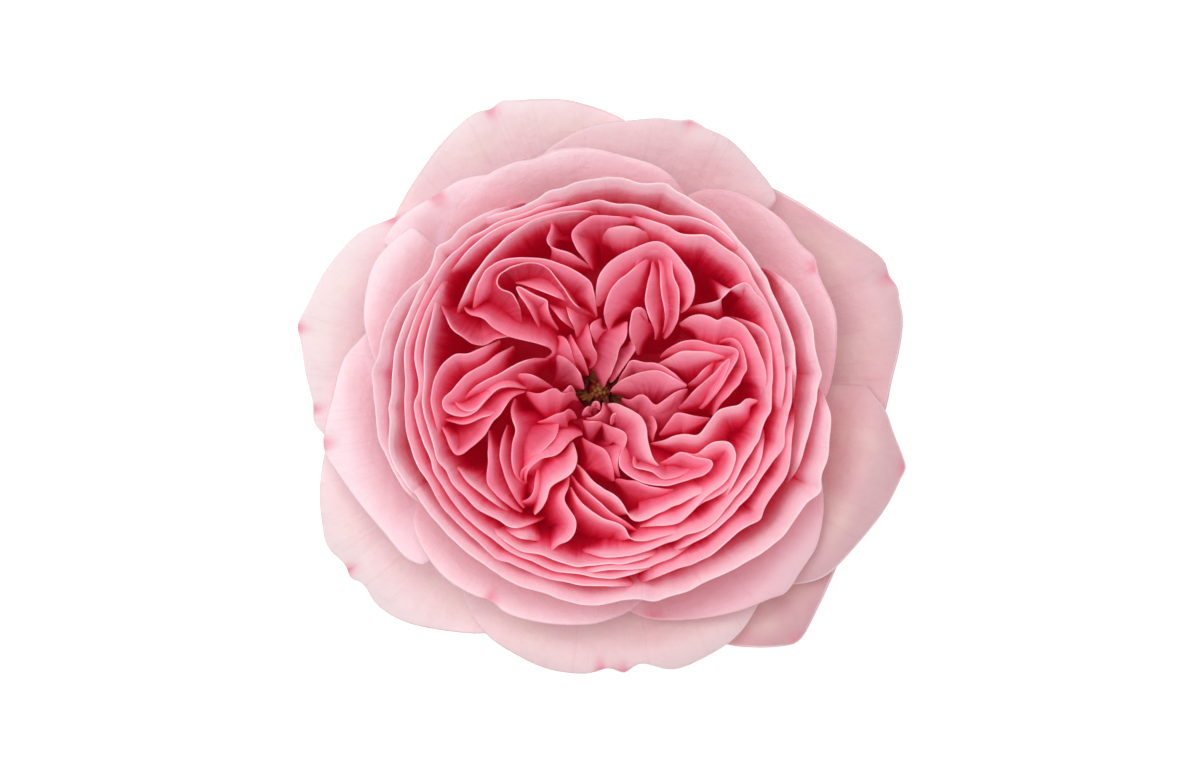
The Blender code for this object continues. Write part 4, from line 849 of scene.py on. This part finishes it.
centrePetals = {
    "P1": (0.9, [-0.8, -2.5, -3.8, -4, -2.5, -1], [(1.7, -0.2), (2.2, 0.4), (3.2, 1.2), (4.2, 1.9),
        (6, 2.7), (7.5, 3.2), (9, 3.4), (10.7, 3.2), (12.4, 2.3), (15.3, 0.8)]),
    "P2": (-0.4, [-1.5, -2.6, -3.2, -2.5, -1.5], [(3.9, -1.3), (5.2, -1.8), (6.3, -1), (7.5, -0.7),
        (8.4, -1.3), (9.1, -2.2), (10.2, -2.6), (12, -1.2), (13.6, -0.2), (15.3, 0.4)]),
    "P3": (1.2, [-1, -2.5, -3.8, -3.4, -1.6, -0.6], [(1.3, -2.4), (2.8, -2.3), (4, -2.8), (5.5, -3.5),
        (6.9, -4.3), (7.7, -5.3), (8.2, -6.5), (8.2, -8), (8.5, -9.8), (9.5, -12.1), (10.4, -13.2)]),
    "P4": (0.7, [0.8, 2.6, 3.4, 3.2, 2.5, 1.2], [(0.9, 0.4), (1.2, 1.6), (2.2, 3.3), (2.9, 5), (3.1, 6.5),
        (3.3, 7.5), (4.1, 8.4), (4.8, 10.2), (5, 12)]),
    "P6": (0.3, [-1, -2.6, -3.4, -2.5, -1.2], [(0.4, -5.8), (1.3, -6), (2.4, -6.5), (3.5, -7.1),
        (4.3, -7.3), (4.9, -8.2), (4.8, -9.2), (4, -11)]),
    "P7": (0.2, [-1.2, -2.8, -3, -1.5], [(-3, -5.3), (-2, -5.3), (-0.9, -5.4), (0, -5.5), (0.5, -5.9)]),
    "P8": (0, [-2.6, -3.2, -3.4, -2.4, -1], [(-7.6, 5.9), (-6.2, 5.7), (-5, 4.9), (-4, 3.7), (-3.4, 2.4),
        (-3, 1.1), (-2.8, 0.1)]),
    "P9": (-0.5, [-0.8, -1.8, -2.2, -1.6, -0.8], [(2.9, 1), (3.8, 2.8), (4.8, 4.7), (5.4, 5.2), (7.5, 5),
        (10.2, 4.5), (13, 2.8), (15.3, 0.9)]),
    "P10": (0.4, [-0.8, -1.5, -1.2, -0.8], [(8.5, -3.5), (9.6, -3.4), (10.3, -2.9), (11.2, -1.8),
        (12.5, -1.3), (13.8, -0.4)]),
    "P11": (-0.6, [1, 2.2, 2.8, 2.4, 1], [(1.9, 1.1), (3, 2), (4.1, 3.9), (5.1, 5.4), (6, 6.5),
        (6.3, 7.6), (5.4, 8.7)]),
    "P12": (0.1, [-0.8, -0.9, -0.9, -0.5], [(-2.4, -4.9), (-1.7, -5), (-0.8, -4.5), (0, -4.1),
        (0.4, -3.2), (0.3, -2.2)]),
    "P13": (-1.4, [-1.2, -2, -1], [(-1.6, -3.2), (-1.2, -2.1), (-0.4, -2), (0.2, -2.4), (0.1, -3.6)]),
    "P14": (-1.8, [-1, -2, -1], [(-3.1, -4.6), (-2.6, -3.2), (-1.8, -2.7), (-1.2, -3.4)]),
    "P15": (-0.8, [-1.2, -2, -1.4], [(1.8, -6.2), (1.8, -4.8), (2.3, -4), (3.4, -4.2), (4.4, -5.6)]),
    "P16": (-1, [-1.2, -1.8, -1.4, -0.8], [(8.4, -4.4), (9.4, -4.5), (9.9, -5.6), (10.1, -6.4),
        (9.6, -7.6), (9.4, -9)]),
    "P17": (-0.3, [-0.6, -1, -0.6], [(-6.8, -0.9), (-6, 0.2), (-5.1, 1.1), (-4.5, 0.2), (-4.2, -0.8)]),
}
paleAndLitFolds = {               # how far the pale edge spreads over a face, partly paler petals and partly painted light on faces turned up; below 0 the face is deeper, as painted shade
    "A1": 0.6, "A3": 0.2, "B1": 0.6, "B4": 0.7, "B7": 0.4, "B8": 1, "C2": 0.4, "C3": 0.9, "C4": 1,
    "C6": 0.8, "C10": 0.7, "D5": 0.3, "D7": 0.9, "D8": 0.6, "E1": 0.4, "E2": 0.4, "E7": 0.2,
    "F0": -0.4, "F1": 0.3, "F3": -0.8, "P1": 0.3, "P3": 1, "P6": 0.3,
}


def faceProfile(width, dive, deep):
    # sideways, down and the length so far: the thin edge, the face, then the way down to the core
    line = [(0.0, 0.1), (0.1, 0.0)]
    for share in (0.12, 0.3, 0.55, 0.8, 1.0):
        line.append((0.1 + (width - 0.1) * share, width * share * (0.62 + 0.28 * share)))
    sideways, faceDrop = line[-1]
    for share in (0.1, 0.25, 0.45, 0.7, 1.0):
        down = faceDrop + (deep - faceDrop) * share
        line.append((sideways + (down - faceDrop) / dive, down))
    lengths = [0.0]
    for a, b in zip(line, line[1:]):
        lengths.append(lengths[-1] + hypot(b[0] - a[0], b[1] - a[1]))
    return [(*point, length) for point, length in zip(line, lengths)]


profileRows = len(faceProfile(1, 1, 9)) - 1


def makeFold(name, lift, widths, rim, shape, towardsAxis, seed):
    read, readSide, length = smoothRim(rim)
    endLength = min(shape["endLength"], 0.4 * length)
    paleAndLit = paleAndLitFolds.get(name, 0.0)

    def findPoint(across, row):
        x, y = read(across)
        width = readEven(widths, across)
        sideX, sideY = readSide(across, 0.6 + 0.5 * abs(width))
        if towardsAxis and sideX * x + sideY * y > 0:
            width = -width
        radius = hypot(x, y)
        nearEnd = max(0, 1 - min(across, 1 - across) * length / endLength)
        fall = shape["endFall"] * nearEnd ** 1.7
        top = readSlope(crown, radius, crownFall) + lift - fall
        top += shape["wave"] * (wave(x, y, 6, seed) + 0.6 * wave(x, y, 2.4, seed)
                                + 0.3 * wave(x, y, 1.1, seed))
        deep = top - readSlope(coreTop, radius) + shape["sunk"]
        face = max(0.15, abs(width) * shape["flat"] * (1 - 0.85 * nearEnd ** 1.5))
        dive = shape["dive"] * (1 + 3 * nearEnd)        # the ends stand upright and run out in a point
        sideways, down, spent = faceProfile(face, dive, deep)[profileRows - row]
        nick = shape["nick"] * (wave(x, y, 2.2, seed + 9) + 0.6 * wave(x, y, 1.0, seed + 9))
        sideways = nick / (1 + spent) + (sideways if width > 0 else -sideways)
        # faces lying lower in the cup are coloured deeper as painted shade, with some random unevenness;
        # pale folds get painted light near the rim
        ripe = shape["ripe"] * (1 - paleAndLit) - 0.4 * lift + 0.5 * wave(x, y, 8, seed + 5)
        ripe = min(max(ripe, 0.0), 0.9) * min(1, spent / 1.6) - paleAndLit * max(0, 1 - spent / 3.2)
        spent += 0.8 * fall                             # and redden as they sink, as painted shade
        return x + sideX * sideways, y + sideY * sideways, top - down, length * across, spent, ripe

    petal = newGrid(name, max(6, ceil(length / shape["column"])), profileRows)
    shapeGrid(petal, profileRows, findPoint, 61 * seed)
    thicken(petal, shape["thickness"])
    return petal


def makeFolds(table, shape, seed, towardsAxis=False):
    return [makeFold(name, *row, shape, towardsAxis, seed + number)
            for number, (name, row) in enumerate(table.items())]


def finishHeart(title, petals, material):
    piece = joinPieces(title, petals)
    finishPiece(piece, "heart_petals", material)
    print(title, len(piece.data.polygons))


finishHeart("collarRings", makeFolds(collarRings, ringShape, 33, True), collarMaterial)
finishHeart("cupRings", makeFolds(cupRings, ringShape, 24, True), ringMaterial)
topFolds = makeFolds(quarterTop, foldShape, 40) + makeFolds(tongues, foldShape, 200)
finishHeart("quarterTop", topFolds, heartMaterial)
finishHeart("quarterRight", makeFolds(quarterRight, foldShape, 60), heartMaterial)
finishHeart("quarterLowerRight", makeFolds(quarterLowerRight, foldShape, 80), heartMaterial)
finishHeart("quarterLowerLeft", makeFolds(quarterLowerLeft, foldShape, 100), heartMaterial)
finishHeart("quarterLeft", makeFolds(quarterLeft, foldShape, 120), heartMaterial)
finishHeart("quarterUpperLeft", makeFolds(quarterUpperLeft, foldShape, 140), heartMaterial)
finishHeart("centrePetals", makeFolds(centrePetals, centreShape, 160), centreMaterial)

heartCore = {
    "profile": [(0, 27.4), (4.6, 27.5), (9, 28.4), (14, 29.5), (22, 30.7), (29, 31.5), (31, 30.3),
                (30, 28.4), (28, 26.9), (24, 25.2), (20, 23.7), (14, 22.2), (8, 21.3), (0, 20.9)],
    "sides": 96,
}
petalRoots = {              # where the petals of each row grow together, above the hip
    "outer": [(0, 21.2), (5.4, 21.1), (6.2, 20.0), (6.0, 18.9), (5.4, 17.9), (0, 17.8)],
    "guard": [(0, 18.2), (5.6, 18.1), (6.2, 17.4), (6.0, 15.8), (5.2, 14.9), (0, 14.8)],
    "sides": 48,
}
core = turnProfile("heartCore", heartCore["profile"], heartCore["sides"])
finishPiece(core, "heart_petals", coreMaterial)
outerRoot = turnProfile("outerRoots", petalRoots["outer"], petalRoots["sides"])
finishPiece(outerRoot, "outer_petals", rootMaterial)
guardRoot = turnProfile("guardRoots", petalRoots["guard"], petalRoots["sides"])
finishPiece(guardRoot, "guard_petals", rootMaterial)
print("core and roots")

stamenRing = {
    "count": 26,
    "rounds": 3,
    "unevenTurn": 0.2,
    "footRadius": (1.9, 3.7),
    "footHeight": 27.9,
    "kneeHeight": 29.2,
    "tipRadius": (1.7, 4.4),
    "tipHeight": (30.2, 34.2),
    "bend": 0.5,
    "filament": 0.15,
    "anther": (0.46, 0.34, 0.95),
    "antherLean": (40, 90),       # degrees
    "lobe": 0.24,                 # how far an anther's two lobes lie off its middle
    "shrivel": 0.06,
    "disc": [(1.9, 28.5), (2.6, 28.9), (3.9, 28.5), (4.0, 27.9), (1.9, 27.8), (1.9, 28.5)],
}


def makeFilament(spots):
    bpy.ops.object.select_all(action="DESELECT")
    bpy.ops.curve.primitive_nurbs_path_add()
    stalk = bpy.context.active_object
    stalk.data.splines.clear()
    line = stalk.data.splines.new("NURBS")
    line.points.add(len(spots) - 1)
    for point, spot in zip(line.points, spots):
        point.co = (*spot, 1)
    line.use_endpoint_u = True
    line.order_u = 3
    stalk.data.resolution_u = 4
    stalk.data.bevel_depth = stamenRing["filament"] * mm
    stalk.data.bevel_resolution = 1
    stalk.data.use_fill_caps = True
    bpy.ops.object.convert(target="MESH")
    return bpy.context.active_object


def makeStamens():
    stalks, heads = [], []
    for number in range(stamenRing["count"]):
        uneven = stamenRing["unevenTurn"]
        turn = tau * number / stamenRing["count"] * stamenRing["rounds"] + dice.uniform(-uneven, uneven)
        foot = dice.uniform(*stamenRing["footRadius"])
        tip = dice.uniform(*stamenRing["tipRadius"])
        height = dice.uniform(*stamenRing["tipHeight"])
        bend = dice.uniform(-stamenRing["bend"], stamenRing["bend"])
        spots = [aroundAxis(foot, turn, stamenRing["footHeight"]),
                 aroundAxis(foot * 1.05, turn + bend * 0.2, stamenRing["kneeHeight"]),
                 aroundAxis(tip, turn + bend, height)]
        stalks.append(makeFilament(spots))
        for lobe in (-1, 1):
            bpy.ops.mesh.primitive_uv_sphere_add(segments=10, ring_count=8, radius=mm)
            head = bpy.context.active_object
            tilt = radians(dice.uniform(*stamenRing["antherLean"]))
            lean = Matrix.Rotation(turn, 4, "Z") @ Matrix.Rotation(tilt, 4, "Y")
            shift = Matrix.Translation(Vector((0, lobe * stamenRing["lobe"] * mm, 0)))
            head.data.transform(Matrix.Translation(spots[-1]) @ lean @ shift
                                @ Matrix.Diagonal((*stamenRing["anther"], 1)))
            for vertex in head.data.vertices:
                shrivel = stamenRing["shrivel"] * wave(*(vertex.co.xy / mm), 0.3, number)
                vertex.co += vertex.normal * shrivel * mm
            head.data.shade_smooth()
            heads.append(head)
    filaments = joinPieces("filaments", stalks)
    filaments.data.shade_smooth()
    finishPiece(filaments, "stamens", filamentMaterial)
    anthers = joinPieces("anthers", heads)
    finishPiece(anthers, "stamens", antherMaterial)
    disc = turnProfile("stamenDisc", stamenRing["disc"], 48)
    finishPiece(disc, "stamens", filamentMaterial)
    print("stamens")


styleColumn = {
    "count": 14,
    "turn": 2.4,             # from one style to the next, so that they fill the middle evenly
    "spread": 0.36,
    "height": 32.4,
    "lower": 0.12,           # how much lower each style stands than the one before it
    "uneven": 0.15,
    "length": 4.4,
    "foot": 0.26,
    "neck": 0.2,
    "knob": 0.42,
    "knobFlat": 0.55,
}


def makeStyles():
    heads = []
    for number in range(styleColumn["count"]):
        turn = number * styleColumn["turn"]
        out = styleColumn["spread"] * number ** 0.5
        height = styleColumn["height"] - styleColumn["lower"] * number
        height += dice.uniform(-styleColumn["uneven"], styleColumn["uneven"])
        bpy.ops.mesh.primitive_cone_add(vertices=10, radius1=styleColumn["foot"] * mm,
                                        radius2=styleColumn["neck"] * mm, depth=styleColumn["length"] * mm)
        stalk = bpy.context.active_object
        stalk.data.transform(Matrix.Translation(aroundAxis(out, turn, height - 2.4)))
        heads.append(stalk)
        bpy.ops.mesh.primitive_uv_sphere_add(segments=12, ring_count=8, radius=styleColumn["knob"] * mm)
        knob = bpy.context.active_object
        knob.data.transform(Matrix.Translation(aroundAxis(out * 1.1, turn, height))
                            @ Matrix.Diagonal((1, 1, styleColumn["knobFlat"], 1)))
        heads.append(knob)
    piece = joinPieces("styleHeads", heads)
    piece.data.shade_smooth()
    finishPiece(piece, "styles", styleMaterial)
    print("styles")


makeStamens()
makeStyles()

calyxShape = {
    "sepals": 5,
    "turn": 18,
    "rib": [(3.2, 13.4), (7.0, 14.3), (11.0, 13.6), (15.0, 11.0), (18.6, 7.0), (21.4, 3.2), (23.6, 0.8)],
    "half": [2.4, 3.6, 4.1, 3.9, 3.0, 1.7, 0.35],
    "rows": 36,
    "columns": 12,
    "thickness": 0.55,
    "arch": 1.0,
    "lobes": 0.10,           # small lobes on the edge
    "ribRise": 0.35,
    "veinDepth": 0.2,
}


def makeSepals():
    rib = calyxShape["rib"]
    rows = calyxShape["rows"]
    made = []
    for number in range(calyxShape["sepals"]):
        turn = radians(calyxShape["turn"]) + tau * number / calyxShape["sepals"]

        def findPoint(across, row):
            share = row / rows
            place = share * (len(rib) - 1)
            low = min(int(place), len(rib) - 2)
            t = place - low
            out = rib[low][0] + (rib[low + 1][0] - rib[low][0]) * t
            height = rib[low][1] + (rib[low + 1][1] - rib[low][1]) * t
            half = readEven(calyxShape["half"], share)
            half *= 1 + calyxShape["lobes"] * sin(34 * share + number) * min(1, 4 * share)
            side = (2 * across - 1) * half
            height -= calyxShape["arch"] * (side / max(calyxShape["half"])) ** 2
            height += calyxShape["ribRise"] * (1 - abs(2 * across - 1)) ** 3 * (1 - share)
            height -= calyxShape["veinDepth"] * abs(sin(side * 1.6)) * (1 - share)
            height = max(height, calyxShape["thickness"] * 0.62)
            return (out * cos(turn) - side * sin(turn), out * sin(turn) + side * cos(turn), height,
                    side + 5, share * 26, 0.0)

        leaf = newGrid("sepal", calyxShape["columns"], rows)
        shapeGrid(leaf, rows, findPoint, 20 * number)
        thicken(leaf, calyxShape["thickness"])
        made.append(leaf)
    sepals = joinPieces("sepals", made)
    finishPiece(sepals, "calyx", sepalMaterial)
    print("sepals")


hipShape = {
    "profile": [(0, 14.9), (3.0, 14.95), (4.6, 14.8), (5.1, 14.2), (4.7, 13.2), (4.3, 12.2), (4.4, 11.0),
                (4.9, 9.4), (5.2, 8.0), (5.1, 6.4), (4.6, 4.9), (3.6, 3.5), (2.9, 2.6), (2.65, 1.8),
                (2.6, 0.25), (2.45, 0.03), (0, 0.03)],
    "sides": 64,
    "swell": 0.09,
}


def makeHip():
    hip = turnProfile("hip", hipShape["profile"], hipShape["sides"])
    for vertex in hip.data.vertices:
        away = vertex.co - Vector((axisX * mm, axisY * mm, vertex.co.z))
        if away.length > 0.001:
            swell = hipShape["swell"] * wave(*(vertex.co.xy / mm), 1.6, vertex.co.z * 300)
            vertex.co += away.normalized() * swell * mm
    finishPiece(hip, "calyx", hipMaterial)
    hip.data.materials.append(cutMaterial)
    for face in hip.data.polygons:
        if face.center.z < 0.05 * mm:
            face.material_index = 1
    print("hip")


makeSepals()
makeHip()

studio = {
    "floorSize": 3.0,
    "floorColour": tint(246, 245, 245),
    "floorGlow": 0.50,         # the pale floor is lit from below a little, as a light table is
    "keyPlace": (-0.36, 0.42, 1.36),
    "keySize": 1.3,
    "keyPower": 10.5,
    "fillPlace": (0.8, -0.6, 1.4),
    "fillSize": 1.4,
    "fillPower": 1.0,
    "aim": (0, 0, 0.03),
    "skyColour": (1.0, 0.985, 0.975, 1.0),
    "skyStrength": 0.52,
    "lens": 200.0,
    "sensor": 36.0,
    "photoWidth": 210.35,      # mm across the photograph at the rims
    "photoCentre": (0.2, 1.05),  # its middle, from the bloom's axis
    "rimHeight": 45.0,
}


def addLight(name):
    place = studio[name + "Place"]
    bpy.ops.object.light_add(type="AREA", location=place)
    lamp = bpy.context.active_object
    lamp.name = name + "Light"
    lamp.data.shape = "DISK"
    lamp.data.size = studio[name + "Size"]
    lamp.data.energy = studio[name + "Power"]
    lamp.rotation_euler = (Vector(studio["aim"]) - Vector(place)).to_track_quat("-Z", "Y").to_euler()


def makeStudio():
    bpy.ops.mesh.primitive_plane_add(size=studio["floorSize"], location=(0, 0, 0))
    floor = bpy.context.active_object
    floor.name = "floor"
    shade = Shade("paleFloor")
    shade.set(Base_Color=studio["floorColour"], Roughness=0.75 + 0.1 * shade.grain(shade.onObject(), 30.0),
              Emission_Color=(1.0, 1.0, 1.0, 1.0), Emission_Strength=studio["floorGlow"])
    floor.data.materials.append(shade.material)
    addLight("key")
    addLight("fill")
    world = bpy.data.worlds.new("sky")
    world.use_nodes = True
    sky = world.node_tree.nodes["Background"]
    sky.inputs[0].default_value = studio["skyColour"]
    sky.inputs[1].default_value = studio["skyStrength"]
    bpy.context.scene.world = world
    bpy.context.scene.view_settings.view_transform = "Standard"
    print("studio")


def makeCamera():
    distance = studio["photoWidth"] * studio["lens"] / studio["sensor"]
    centreX, centreY = studio["photoCentre"]
    place = ((axisX + centreX) * mm, (axisY + centreY) * mm, (studio["rimHeight"] + distance) * mm)
    bpy.ops.object.camera_add(location=place, rotation=(0, 0, 0))
    camera = bpy.context.active_object
    camera.data.lens = studio["lens"]
    camera.data.sensor_width = studio["sensor"]
    camera.data.clip_end = 20
    bpy.context.scene.camera = camera
    print("camera")


makeStudio()
makeCamera()
